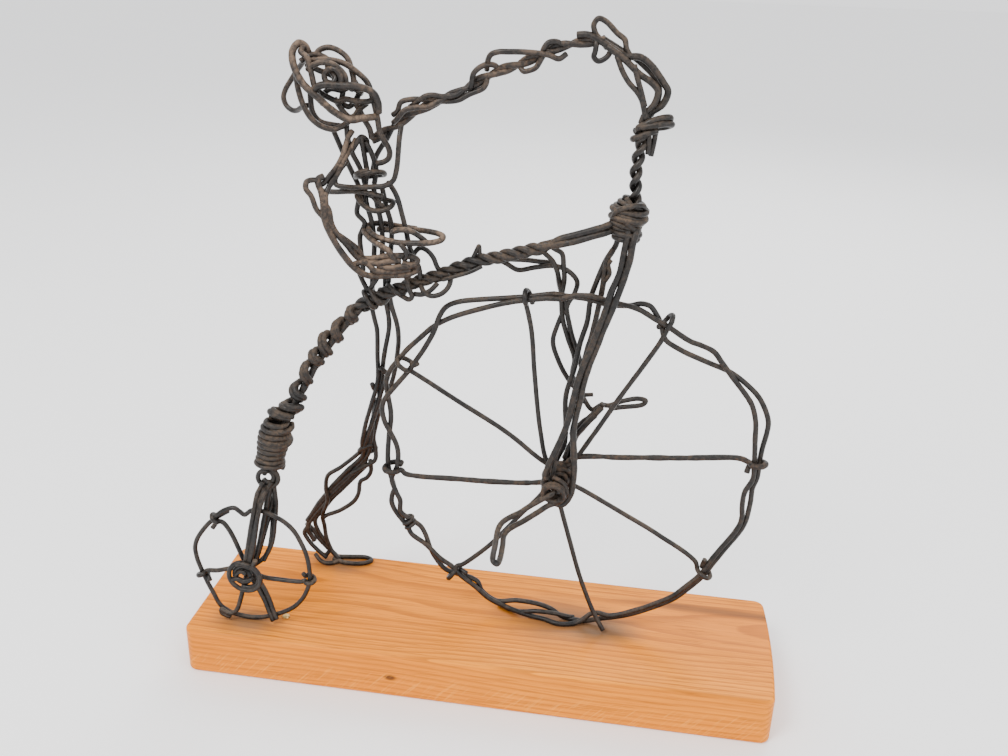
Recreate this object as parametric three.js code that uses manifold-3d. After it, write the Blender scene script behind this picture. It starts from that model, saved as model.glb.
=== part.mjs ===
// A penny-farthing and its rider bent from soft iron wire, standing on a wooden plinth.
// Millimetres. +X runs along the plinth towards the large wheel, +Y away from the viewer,
// +Z up; the origin is the centre of the plinth's underside.
// Wires that really touch are joined into one solid; neighbouring solids keep a small gap.
import * as THREE from "three";
import { mergeVertices } from "three/addons/utils/BufferGeometryUtils.js";
import Module from "manifold-3d";

const wasm = await Module();
wasm.setup();

// ---- driving dimensions
const PLINTH_LENGTH = 280;
const PLINTH_DEPTH = 78;
const PLINTH_HEIGHT = 24;
const PLINTH_CORNER = 5; // rounding of the upright corners
const PLINTH_WORN_CORNER = 12; // the far corner by the small wheel is rubbed away
const PLINTH_EASE = 1.4; // eased top and bottom edges
const PLINTH_BULGE = 1.5; // the end grain by the large wheel swells a little

const WIRE = 1.05; // radius of the common wire
const THICK_WIRE = 1.3;
const DOUBLED_WIRE = 1.75; // two wires laid side by side in the open spring
const GAP = 0.32; // clearance between neighbouring solids
const SIDES = 4; // facets round a wire
const CROWDED_SIDES = 3; // facets where many wires cross
const BEND_STEP = 60; // most degrees of bend between two rings of a wire
const LONGEST_STEP = 28; // most millimetres between two rings
const TWIST_STEP = 60; // degrees of lay between two rings of a bundle
const RESTING = PLINTH_HEIGHT + WIRE + 0.42; // centre of a wire that lies on the plinth
const SOLE = RESTING + 0.4; // the rider's foot, which has coarser facets

const WHEEL_CENTRE = [37, 3, 109];
const SMALL_WHEEL_CENTRE = [-108, -25, 55];
const AXLE = [32.5, 104]; // x and z of the large wheel's axle
const SMALL_AXLE = [-110, 52];
const HOOK = 4; // radius of a spoke's hook round the rim

// ---- materials
const wood = new THREE.MeshStandardMaterial({ color: 0x9a5a2c, roughness: 0.45, metalness: 0 });
const darkWire = new THREE.MeshStandardMaterial({ color: 0x35302d, roughness: 0.6, metalness: 0.7 });
const rustyWire = new THREE.MeshStandardMaterial({ color: 0x4a3a2e, roughness: 0.8, metalness: 0.4 });
const dustyWire = new THREE.MeshStandardMaterial({ color: 0x5c5148, roughness: 0.65, metalness: 0.6 });
const brass = new THREE.MeshStandardMaterial({ color: 0xb08a45, roughness: 0.35, metalness: 0.9 });

// ---- curves
const at = ([x, y, z]) => new THREE.Vector3(x, y, z);
const radians = THREE.MathUtils.degToRad;

// A smooth path through the given points whose even steps are even in bend, not in length.
class WirePath extends THREE.CatmullRomCurve3 {
  constructor(points) {
    super(points.map(at), false, "centripetal");
    const samples = 12 * (points.length - 1);
    this.progress = [0];
    let tangent = this.getTangent(0);
    let place = this.getPoint(0);
    for (let i = 1; i <= samples; i++) {
      const nextTangent = this.getTangent(i / samples);
      const nextPlace = this.getPoint(i / samples);
      const bend = THREE.MathUtils.radToDeg(tangent.angleTo(nextTangent)) / BEND_STEP;
      const length = place.distanceTo(nextPlace) / LONGEST_STEP;
      this.progress.push(this.progress[i - 1] + bend + length);
      tangent = nextTangent;
      place = nextPlace;
    }
    this.steps = Math.max(1, Math.ceil(this.progress[samples] - 0.3));
  }

  getUtoTmapping(u) {
    const samples = this.progress.length - 1;
    const wanted = u * this.progress[samples];
    let i = 1;
    while (i < samples && this.progress[i] < wanted) i++;
    const before = this.progress[i - 1];
    const part = (wanted - before) / (this.progress[i] - before || 1);
    return Math.min(1, (i - 1 + part) / samples);
  }
}

// A regular polygon with the same area as a circle of this radius.
function roundSection(radius, sides = SIDES) {
  const corner = radius * Math.sqrt((2 * Math.PI) / (sides * Math.sin((2 * Math.PI) / sides)));
  const section = new THREE.Shape();
  for (let i = 0; i < sides; i++) {
    const angle = (2 * Math.PI * i) / sides;
    section[i ? "lineTo" : "moveTo"](corner * Math.cos(angle), corner * Math.sin(angle));
  }
  return section;
}

function wireGeometry(points, radius, sides = SIDES) {
  const path = new WirePath(points);
  const settings = { steps: path.steps, bevelEnabled: false, extrudePath: path };
  return new THREE.ExtrudeGeometry(roundSection(radius, sides), settings);
}

// ---- solids
function solid(geometry) {
  const bare = geometry.clone();
  bare.deleteAttribute("normal");
  bare.deleteAttribute("uv");
  const merged = mergeVertices(bare, 1e-4);
  return new wasm.Manifold(
    new wasm.Mesh({
      numProp: 3,
      vertProperties: new Float32Array(merged.attributes.position.array),
      triVerts: new Uint32Array(merged.index.array),
    }),
  );
}

function geometryOf(body) {
  const mesh = body.getMesh();
  const geometry = new THREE.BufferGeometry();
  geometry.setAttribute("position", new THREE.BufferAttribute(mesh.vertProperties, 3));
  geometry.setIndex(new THREE.BufferAttribute(mesh.triVerts, 1));
  geometry.computeVertexNormals();
  return geometry;
}

const group = new THREE.Group();
const made = []; // each finished solid, with its wires swollen by the gap

function join(bodies) {
  return bodies.reduce((whole, body) => whole.add(body));
}

function largest(body) {
  const pieces = body.decompose();
  return pieces.reduce((best, piece) => (piece.volume() > best.volume() ? piece : best));
}

// A sub-part bent from one or more wires that touch. wires: lists of points, or
// { points, radius } for a wire of another thickness.
function bend(name, wires, material, radius = WIRE, sides = SIDES) {
  const list = wires.map((wire) => (Array.isArray(wire) ? { points: wire } : wire));
  const swept = (grow) =>
    join(
      list.map(({ points, turns, radius: own = radius }) =>
        solid(turns ? bundleGeometry(points, turns, own + grow) : wireGeometry(points, own + grow, sides)),
      ),
    );
  let body = swept(0);
  for (const other of made) {
    if (body.intersect(other.swollen).isEmpty()) continue;
    body = body.subtract(other.swollen);
  }
  body = largest(body);
  made.push({ name, swollen: swept(GAP) });
  const mesh = new THREE.Mesh(geometryOf(body), material);
  mesh.name = name;
  group.add(mesh);
}

// ---- shapes that repeat
// Stations on a wheel: [degrees from +X, radius, shift along Y]. No wire goes below the plinth's top.
function onWheel([x, y, z], stations) {
  return stations.map(([angle, radius, shift]) => [
    x + radius * Math.cos(radians(angle)),
    y + shift,
    Math.max(RESTING, z + radius * Math.sin(radians(angle))),
  ]);
}

// One turn of wire round the rim at this angle, from the wheel's inside over the near side,
// ending in a short tail beside the spoke.
function rimHook([x, y, z], angle, radius, lean = 1, size = HOOK) {
  const out = [Math.cos(radians(angle)), Math.sin(radians(angle))];
  const along = [-out[1], out[0]];
  return [0, 75, 150, 225, 300, 365].map((turn) => {
    const away = -Math.cos(radians(turn)) * size;
    const slip = (lean * 3.2 * turn) / 360;
    return [
      x + out[0] * (radius + away) + along[0] * slip,
      y - Math.sin(radians(turn)) * size,
      Math.max(RESTING, z + out[1] * (radius + away) + along[1] * slip),
    ];
  });
}

// A helix round a straight axis, its radius running through the given list.
function coil(from, to, radii, turns, startAngle = 0, perTurn = 6) {
  const axis = at(to).sub(at(from));
  const side = new THREE.Vector3(0, 1, 0).cross(axis);
  if (side.length() < 0.1 * axis.length()) side.set(1, 0, 0);
  side.normalize();
  const other = axis.clone().normalize().cross(side);
  const count = Math.round(turns * perTurn);
  const points = [];
  for (let i = 0; i <= count; i++) {
    const part = i / count;
    const place = part * (radii.length - 1);
    const low = Math.min(radii.length - 2, Math.floor(place));
    const radius = radii[low] + (radii[low + 1] - radii[low]) * (place - low);
    const angle = radians(startAngle) + part * turns * 2 * Math.PI;
    points.push(
      at(from)
        .addScaledVector(axis, part)
        .addScaledVector(side, radius * Math.cos(angle))
        .addScaledVector(other, radius * Math.sin(angle))
        .toArray(),
    );
  }
  return points;
}

// A ring or oval of wire in the plane of the wheels, its ends just overlapping in depth.
function ring([x, y, z], width, height, from = 0, sweep = 360, slip = 0) {
  const count = Math.max(4, Math.round(Math.abs(sweep) / 45));
  return Array.from({ length: count + 1 }, (_, i) => {
    const angle = radians(from + (sweep * i) / count);
    return [x + width * Math.cos(angle), y + (slip * i) / count, z + height * Math.sin(angle)];
  });
}

// Three wires laid up together: a three-lobed bar that turns as it goes.
class BundlePath extends WirePath {
  constructor(points, turns) {
    super(points);
    this.turns = turns;
    this.steps = Math.ceil((turns * 360) / TWIST_STEP);
  }

  getUtoTmapping(u) {
    return THREE.Curve.prototype.getUtoTmapping.call(this, u);
  }

  computeFrenetFrames(count, closed) {
    const frames = super.computeFrenetFrames(count, closed);
    frames.tangents.forEach((tangent, i) => {
      const angle = (this.turns * 2 * Math.PI * i) / count;
      frames.normals[i].applyAxisAngle(tangent, angle);
      frames.binormals[i].applyAxisAngle(tangent, angle);
    });
    return frames;
  }
}

function bundleGeometry(points, turns, radius = WIRE) {
  const section = new THREE.Shape();
  for (let i = 0; i < 6; i++) {
    const corner = radius * (i % 2 ? 1.45 : 2.2);
    const angle = radians(60 * i);
    section[i ? "lineTo" : "moveTo"](corner * Math.cos(angle), corner * Math.sin(angle));
  }
  const path = new BundlePath(points, turns);
  const settings = { steps: path.steps, bevelEnabled: false, extrudePath: path };
  return new THREE.ExtrudeGeometry(section, settings);
}

// ---- plinth
function plinth() {
  const x = PLINTH_LENGTH / 2;
  const y = PLINTH_DEPTH / 2;
  const inset = PLINTH_EASE;
  const corner = PLINTH_CORNER - inset;
  const worn = PLINTH_WORN_CORNER - inset;
  const left = -x + inset;
  const right = x - inset - PLINTH_BULGE;
  const near = -y + inset;
  const far = y - inset;
  const outline = new THREE.Shape();
  outline.moveTo(left + corner, near);
  outline.lineTo(right - corner, near);
  outline.quadraticCurveTo(right, near, right, near + corner);
  outline.quadraticCurveTo(right + 2 * PLINTH_BULGE, 0, right, far - corner);
  outline.quadraticCurveTo(right, far, right - corner, far);
  outline.lineTo(left + worn, far);
  outline.quadraticCurveTo(left, far, left, far - worn);
  outline.lineTo(left, near + corner);
  outline.quadraticCurveTo(left, near, left + corner, near);
  const geometry = new THREE.ExtrudeGeometry(outline, {
    depth: PLINTH_HEIGHT - 2 * PLINTH_EASE,
    curveSegments: 3,
    bevelThickness: PLINTH_EASE,
    bevelSize: PLINTH_EASE,
    bevelSegments: 1,
  });
  const mesh = new THREE.Mesh(geometry, wood);
  mesh.name = "plinth";
  mesh.position.z = PLINTH_EASE;
  group.add(mesh);
}
plinth();

// ---- large wheel: two strands that cross and part, bound together low on the right
const rimOuter = [
  [96, 84.2, 0.9], [107, 84.6, 1], [119, 89.2, 1], [127, 93.3, 0.6], [131, 92.6, -0.8],
  [136, 88.4, -1], [142, 86.3, -1], [149, 85.8, -1], [157, 87.8, -1], [163, 90.2, -0.9],
  [167, 89.8, -0.8], [171, 87.2, -0.8], [178, 80.8, -1], [184, 80.8, -1], [190, 84.9, -0.8],
  [198, 83.6, -1], [203, 85.4, -0.9], [207, 82.6, 0], [213, 81, 1], [218, 83, 0.8],
  [228, 85.6, 1], [233, 82.4, 0.8], [237, 80.2, 1], [242, 83.2, 0.8], [248, 84.6, 0.8],
  [255, 79.8, 1], [262, 78.5, 1], [267, 80.2, 1], [271, 83.2, 0.8], [277, 84.7, 0], [284, 84.2, 0.5],
  [300, 84.5, 0.6], [316, 84.1, 0.6], [323, 83.4, 0.6], [330, 82.8, 0.6], [340, 83.9, 0.6],
  [347, 84.6, 0.6], [355, 83.9, 0.8], [360, 83.5, 0.8], [365, 85, 0.8], [372, 87.1, 1],
  [377, 90.2, 1], [381, 92.1, 1], [388, 91.7, 1], [394, 89, 1], [399, 86, 0.8], [406, 80.7, 1],
  [414, 77.1, 1], [420, 77, 1], [424, 81.7, 0.9], [427, 85, 0.9], [430, 86.6, 0.9],
  [434, 84.2, 0.9], [441, 81.7, 0.8], [452, 82.6, 0.8],
];
const rimInner = [
  [96, 82.4, -0.8], [107, 83.2, -0.8], [114, 84.7, -1], [124, 87, -1], [130, 89.2, -0.6],
  [134.5, 90, 0.8], [141, 90.8, 1], [150, 92.4, 1], [154, 93.2, 1], [159, 92, 0.9],
  [165, 86.8, 0.9], [172, 85.3, 0.9], [180, 85.6, 1], [189, 85.6, 0.9], [194, 85.4, 0.8],
  [198, 88.6, 1], [203, 88.4, 1], [210, 86, -0.6], [216, 83.4, -0.9], [223, 81.9, -1],
  [229, 80.8, -1], [234, 81.8, -0.9], [240, 82.2, -0.9], [247, 84, -0.9], [254, 84.3, -1],
  [261, 84.6, -1.4], [267, 84, -2.6], [272, 84, -4.6], [277, 83.4, -2.6], [281, 80.2, -1],
  [284, 79.8, -1], [288, 82.2, -0.8], [300, 82.2, -0.6], [316, 81.9, -0.6], [323, 81.9, -0.6],
  [330, 80.6, -0.6], [340, 81.7, -0.6], [347, 82.2, -0.6], [353, 80.5, -0.8], [358, 80.3, -0.8],
  [363, 82.8, -0.8], [369, 83.4, -1], [376, 84.7, -1], [382, 86.8, -1], [387, 87.6, -1],
  [391, 87.2, -1], [398, 86.1, -0.8], [403, 86.3, -1], [407, 86.9, -1], [414, 83.3, -1],
  [422, 82.9, -1], [426, 83, -0.8], [433, 84.1, -0.8], [441, 83.5, -0.8], [452, 84.6, -0.8],
];
bend("large_wheel_rim", [onWheel(WHEEL_CENTRE, rimOuter), onWheel(WHEEL_CENTRE, rimInner)], darkWire);

// The hub is a tight coil of the spokes' ends round the axle.
const [axleX, axleZ] = AXLE;
bend(
  "large_wheel_hub",
  [coil([axleX, -1.2, axleZ], [axleX, 8, axleZ], [3.4, 3.9, 3.6], 4, 30)],
  darkWire,
);

// Each spoke runs from the hub to a hook round the rim.
const y0 = WHEEL_CENTRE[1];
const spokeHooks = (angle, radius, lean, size) => rimHook(WHEEL_CENTRE, angle, radius, lean, size);
bend("large_wheel_spoke_1", [[
  [31, y0, 109.2], [26.5, y0, 116], [23, y0, 129], [20, y0, 152], [18, y0, 166], [17, y0, 178],
  ...spokeHooks(104, 84, -1),
]], darkWire);
bend("large_wheel_spoke_2", [[
  [28, y0, 107], [23, y0, 113], [12, y0, 123.4], [-12, y0, 135.5], [-28, y0, 145.4], [-35, y0, 150],
  ...spokeHooks(151, 86.4, -1, 4.2),
]], darkWire);
bend("large_wheel_spoke_3", [[
  [27, y0, 103], [20, y0, 99.5], [-4, y0, 98], [-20, y0, 97], [-35, y0, 98],
  ...spokeHooks(187, 83.6, -1, 4.6),
]], rustyWire, THICK_WIRE);
bend("large_wheel_spoke_4", [[
  [29, y0, 99.5], [22, y0, 91], [1, y0, 62.5], [-8, y0, 53.5], [-12, y0, 50.5],
  ...spokeHooks(229, 83.2, 1, 4.6),
]], darkWire);
bend("large_wheel_spoke_5", [[
  [33, y0, 98.6], [34.5, y0, 85], [40, y0, 68], [49, y0 - 0.6, 43], [53, y0 - 2.4, 34.5],
  [56.4, y0 - 4.6, 28.5], [59, y0 - 6, RESTING + 0.6],
]], darkWire);
bend("large_wheel_spoke_6", [[
  [37.5, y0, 101.6], [62, y0, 89], [91, y0, 73], [99, y0, 65],
  ...spokeHooks(323, 82.7, 1),
]], darkWire);
bend("large_wheel_spoke_7", [[
  [37.6, y0, 106.6], [42, y0, 110.6], [50, y0, 115], [60, y0, 117], [87, y0, 120], [108, y0, 121.5],
  ...spokeHooks(8.5, 84.6, -1, 4.4),
]], rustyWire, THICK_WIRE);
bend("large_wheel_spoke_8", [[
  [34, y0, 109.6], [38, y0, 115], [44, y0, 122], [50, y0, 131], [56, y0, 144], [62, y0, 153], [70, y0, 165],
  [74, y0, 174], ...spokeHooks(66, 84, 1, 4.6),
]], darkWire);

// ---- axle and cranks: one wire from the far pedal through the hub to the near pedal and back
bend("axle_and_cranks", [
  [
    [50, 12, 137], [45, 12, 130], [39, 12, 121], [36.5, 12, 112], [33, 11, 105], [axleX, 6, axleZ],
    [axleX, -6, axleZ], [31, -9.6, 102], [26, -9.8, 98], [17, -9.8, 90], [9.5, -10.2, 84.5],
    [7.5, -14, 82.5], [8, -24, 81], [8.5, -33, 80], [10, -35, 78.6], [10.6, -32, 77.6],
    [10.2, -22, 78], [9.4, -12, 78], [12, -9.2, 80], [19, -9, 86], [29.5, -9, 94.5], [35.5, -8.6, 98],
  ],
  [[38, 13.2, 123], [45, 13.2, 131], [49, 13.2, 136]],
], darkWire);

// ---- steering head and fork
bend("fork", [
  { points: coil([54, 3, 223], [57, 3, 235], [4.6, 6.2, 6.4, 4.8], 5, 200), radius: 1.15 },
  [
    [56, -0.4, 227], [55.8, -2.8, 221], [55, -3.2, 216], [54, -3.4, 207], [51, -4, 198], [49, -4.4, 189],
    [46.6, -5, 181], [43.7, -5, 171], [40, -5, 159], [37.5, -5, 145], [35, -5, 132], [31.5, -5, 122],
    [28.5, -5, 114], [27, -5, 106], [27.2, -5, 100], [30.6, -5, 95.4], [35.6, -5, 94.8],
    [39.3, -5, 99], [40.2, -4.6, 109.5], [39.6, -4, 122], [38.5, -4, 132], [40.5, -4, 145],
    [42.7, -4, 159], [46, -4, 171], [49, -4, 181], [52.5, -4, 192], [55, -4, 201], [57.3, -4, 211],
    [58.3, -3.4, 219], [59.6, -1.2, 225],
  ],
  [
    [52, 6.6, 226], [51.5, 8.6, 219], [51, 9, 214.5], [47, 9, 207], [44, 9, 198], [42, 9, 191], [41, 9, 180],
    [38.4, 9, 168], [36.5, 9, 156], [33.5, 9, 143], [34, 9.4, 130], [34, 11, 118], [31, 11.6, 109],
  ],
  [
    [48, 8.4, 209], [47.4, 7.4, 203], [46.6, 7.2, 195], [45.4, 7.2, 185.5], [43.5, 7.2, 174], [41, 7.4, 162],
    [38.5, 7.6, 147], [37, 8.6, 134], [35.4, 9.6, 128],
  ],
], darkWire);

// ---- handlebar: stem, loops and rolled grip
bend("handlebar", [
  [
    [58, 4, 238.6], [55.6, 4.6, 243], [58.2, 3.4, 248], [56, 4.6, 252], [55, 4, 258], [55, 4, 262],
    [54, 4.4, 267], [58.4, 4.4, 269], [65, 5, 268.4], [68, 5.4, 266.6], [63, 5.4, 264.8], [56.5, 5, 265.2],
  ],
  [
    [60.4, 4.2, 239.2], [57.4, 3.2, 243.4], [56.4, 5, 248], [58.4, 3.4, 251.6], [60.6, 4, 256], [61, 4, 262],
    [63.6, 4.6, 264.6], [57.4, 4, 262.2], [55.2, 3.4, 260.6],
  ],
  [
    [31.4, 9, 298.4], [38, 8, 297], [44, 7, 294], [50, 6, 291.5], [55, 6, 291.4], [60, 6, 288], [65, 6, 282],
    [67, 6, 279], [65.4, 6, 274], [60.6, 5.6, 270],
  ],
  [
    [44, 7.6, 294.4], [38, 9, 298.6], [36, 9, 301.5], [37.5, 9, 304.6], [41, 9, 303.5], [45.6, 8.6, 299.6],
    [49, 7.6, 297.6], [49, 6.8, 292.8],
  ],
  [
    [42, 6, 294.4], [49.7, 4.6, 290.4], [55.5, 4.4, 285], [60.5, 4.4, 282], [63, 4.4, 279], [62, 4.4, 274],
    [58.6, 4.4, 269.6],
  ],
  [[47, 5.4, 291.6], [48.5, 3.4, 286.5], [51.5, 3, 282], [55, 3, 278.5], [57, 3, 275.5], [58.7, 3.6, 270]],
], darkWire, WIRE, CROWDED_SIDES);

// ---- backbone from the steering head to the top of the spring
const lay = [
  [21.5, 3, 213.2], [11, 3, 210], [1, 3, 207], [-7, 3, 205], [-15, 3, 201.5], [-24, 2.6, 197.4],
  [-33, 2, 194], [-42, 1, 190.2], [-51, 0, 186.4], [-58, -1, 182.4], [-61, -1.6, 180.4],
];
bend("backbone", [
  { points: lay, turns: 4 },
  [[46.4, 3, 224.4], [40, 3, 222], [32, 3, 218.6], [25, 3, 215.2], [19, 3, 212.6]],
  [[46.2, 2, 220.8], [40, 2, 218], [32, 2.4, 215.8], [26, 3, 214.2], [19, 3, 212]],
  coil([-50.4, 1.2, 187], [-56.4, 0.4, 183.9], [3.9, 3.9], 2, 60, 5),
  [
    [-37.6, -1.4, 196], [-36.4, -0.6, 192], [-36, 0.6, 190.6], [-38.6, 2.4, 188.8], [-41, 3.6, 188.4],
  ],
  [[-38.6, 2, 192.6], [-36, 2, 202], [-34.5, 2, 207], [-31, 2, 208.4], [-27, 2, 205.5], [-24.2, 2.6, 198.4]],
], darkWire, WIRE, CROWDED_SIDES);

// ---- spring: an open coil of doubled wire, then a close barrel
// Turns of the open coil: top x, top z, bottom x, bottom z, depth.
const turns = [
  [-62.6, 183.4, -62.6, 173, -3], [-68, 177, -68.4, 164, -4.5], [-74, 171, -73.5, 157.5, -6],
  [-78.6, 163.4, -77, 153, -8], [-82, 158, -82, 144, -10], [-87, 148, -84.6, 138, -12.6],
  [-91, 140, -86, 133.6, -15], [-96, 136.4, -88, 130, -17],
];
const openCoil = [];
for (const [topX, topZ, bottomX, bottomZ, depth] of turns) {
  const reach = Math.hypot(topX - bottomX, topZ - bottomZ) / 2;
  openCoil.push([topX, depth, topZ]);
  openCoil.push([(topX + bottomX) / 2 - 1.4, depth - reach, (topZ + bottomZ) / 2 - 1]);
  openCoil.push([bottomX, depth - 0.8, bottomZ]);
  openCoil.push([(topX + bottomX) / 2 - 3.4, depth - 1.2 + reach, (topZ + bottomZ) / 2 - 2.6]);
}
bend("spring_open_coil", [openCoil.slice(0, -1)], darkWire, DOUBLED_WIRE);
bend(
  "spring_barrel",
  [coil([-93.6, -18, 127.4], [-97.8, -19.4, 109.6], [6, 6.4, 6.6, 6, 5.6], 7, 10)],
  darkWire,
  1.1,
);

// ---- rear fork, with the eye that hangs from the spring and the ring round the small axle
const [smallX, smallZ] = SMALL_AXLE;
bend("rear_fork", [
  ring([-99.3, -21, 100.6], 4.6, 4.4, 80, 400, 2),
  [
    [-102.4, -20.6, 97.6], [-103, -24.4, 94.7], [-104.4, -28.8, 84.8], [-106.7, -29.8, 71.9],
    [-108.9, -30.2, 61.2],
  ],
  [
    [-98.6, -20.4, 96.6], [-99.4, -24.4, 95.2], [-101.9, -28.8, 85.1], [-104.2, -29.8, 72.2],
    [-106.5, -30.2, 61.5], [-107, -30.2, 57.6],
  ],
  [
    [-98, -19, 97], [-97.6, -18.6, 93.6], [-100.1, -20.2, 81], [-104, -20.6, 67.4], [-108, -20.6, 56],
    [-110, -20.6, 51],
  ],
  ring([-109.8, -30.2, 52.6], 7.8, 7.4, 100, 380, -1.4),
  ring([-110.4, -30, 51.6], 3.6, 3.4, 60, 330, 0.8),
  [[-110, -31, 55], [-110, -27, 52.6], [smallX, -22, smallZ], [smallX, -18.6, smallZ]],
  [[-117, -30.6, 51], [-113.4, -30.6, 50.4]],
], darkWire, WIRE, CROWDED_SIDES);

// ---- small wheel
const smallRim = [
  [112, 29.6, 1], [121, 29.3, 0.8], [136, 29, 0], [154, 29, 0], [167, 28.9, 0], [181, 27.4, 0], [195, 26.4, 0],
  [209, 26.8, 0], [224, 28.3, 0], [236, 30.6, 0], [246, 31, 0], [263, 30, 0], [286, 28.6, 0],
  [300, 28.1, 0], [314, 28.4, 0], [328, 28.4, 0], [342, 28.3, 0], [354, 28.3, 0], [372, 28.2, 0],
  [391, 29.2, 0], [407, 30.9, 0], [418, 31.5, 0], [429, 31.5, 0], [438, 31.7, 0], [448, 30.2, 0],
  [454, 27.8, 0], [458, 29.6, 0], [463, 31.5, 0], [472, 31.3, 0], [479, 30.4, 0.2],
];
bend("small_wheel_rim", [onWheel(SMALL_WHEEL_CENTRE, smallRim)], darkWire, 1.25);
const smallHook = (angle, radius, lean) => rimHook(SMALL_WHEEL_CENTRE, angle, radius, lean, 3.1);
const sy = SMALL_WHEEL_CENTRE[1];
bend("small_wheel_spoke_1", [[[-111.6, sy, 56.6], [-116, sy, 70], ...smallHook(122, 29.3, 1)]], darkWire);
bend("small_wheel_spoke_2", [[[-114, sy, 52.6], [-122, sy, 50.6], ...smallHook(194, 26.4, 1)]], darkWire);
bend("small_wheel_spoke_3", [[[-112, sy, 48], [-115, sy, 38], ...smallHook(249, 30.6, -1).slice(0, 2)]], darkWire);
bend("small_wheel_spoke_4", [[[-107.6, sy, 48.6], [-103, sy, 40], ...smallHook(292, 28.3, 1).slice(0, 3)]], darkWire);
bend("small_wheel_spoke_5", [[[-106, sy, 51], [-96, sy, 49.6], ...smallHook(349, 28.3, 1)]], darkWire);

// ---- standing leg, behind the spring
bend("standing_leg", [
  [
    [-54.9, 6, 176.5], [-53.8, 8, 167.3], [-54.6, 11, 156.2], [-55.6, 13.4, 139.4], [-59.6, 15.6, 126],
    [-63, 17.6, 115], [-65.9, 20, 104], [-67, 22.6, 97], [-69.8, 24.4, 93.6], [-79, 25, 85.2],
    [-86, 25.6, 79], [-88, 26.6, 71], [-87.4, 27.4, 63], [-91.4, 29.4, 52.6], [-90.5, 31, 40], [-88, 31, 31],
    [-84, 30.4, 26.4],
  ],
  [
    [-46.3, 5, 181.9], [-44, 8, 168], [-45.4, 11, 154.6], [-49.3, 14.4, 137.8], [-55, 18.6, 125],
    [-58.6, 21.4, 115], [-61.2, 23.4, 104], [-60.6, 24.4, 97], [-61, 24.6, 91], [-68, 24.6, 86.4],
  ],
  [
    [-48.6, 5, 182.1], [-48.2, 8, 170.2], [-51.1, 11, 156.5], [-54.2, 14, 140], [-56.7, 17.4, 126],
    [-60.8, 20, 112.8], [-64, 22, 102], [-65, 24, 96], [-66, 25, 90], [-75, 27, 78.5], [-84, 28, 68],
    [-91, 29.4, 58], [-97, 30.4, 50], [-101, 31, 43], [-102.4, 31, 40], [-100, 31, 35],
    [-95, 31, 29.4], [-91, 31, SOLE + 0.6],
  ],
  [
    [-64, 24.6, 89], [-64, 26, 82], [-70, 28, 76], [-71, 28, 69], [-74, 28.4, 63.5], [-81, 29, 57.4],
    [-90.4, 29.8, 52.6],
  ],
  [
    [-97, 31, 27.4], [-93, 27, SOLE], [-89, 27, SOLE], [-84, 30, SOLE], [-84, 33.4, SOLE],
    [-78, 35, SOLE], [-70, 36, SOLE], [-67, 34, SOLE], [-70, 30.4, SOLE], [-80, 29, SOLE],
    [-86.6, 30.6, SOLE + 0.6],
  ],
], darkWire, WIRE, CROWDED_SIDES);

// ---- riding leg, over the backbone and down to the far pedal
bend("riding_leg", [
  [[3, 9, 205], [10, 9, 205], [18, 10, 204.4], [25.4, 10, 203.4], [27.6, 10.4, 196], [29, 11, 190]],
  [
    [3.6, 10, 203.6], [9.6, 9.6, 200.4], [17, 9, 202], [25, 8.3, 203.6], [31, 8.3, 202], [35.4, 9, 197],
    [34.4, 10.4, 190.6], [32, 11.4, 186],
  ],
  [[19.5, 7.2, 211], [24.5, 7, 206], [26.8, 7.6, 201], [28, 9.6, 194.5], [30, 11.6, 188]],
  [[24.7, 7, 211], [28.6, 7, 210], [29.6, 7.4, 204], [30, 8.4, 198], [29.4, 10, 192]],
  [
    [28.7, 11, 191], [29.5, 12, 180], [32.6, 13, 169], [36, 14, 159], [35.6, 15, 151], [38, 15.6, 144.6],
    [41.4, 16.4, 138.6], [45.4, 16.6, 133.6], [49.4, 16.6, 136], [53, 16.6, 136], [59, 16.6, 139],
    [68, 16.6, 141], [69.4, 16.6, 138.8], [60, 16.6, 136], [53, 16.6, 134.6],
  ],
  [[30.7, 11.4, 187], [33, 12, 175], [37, 13.4, 163], [39.6, 15, 152], [39.6, 15.8, 142.4]],
  [[30, 12, 182], [27, 13, 173], [26, 13.4, 166], [29, 14, 157], [34, 14.8, 148], [38.6, 15.4, 142.8]],
], darkWire, WIRE, CROWDED_SIDES);

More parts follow.
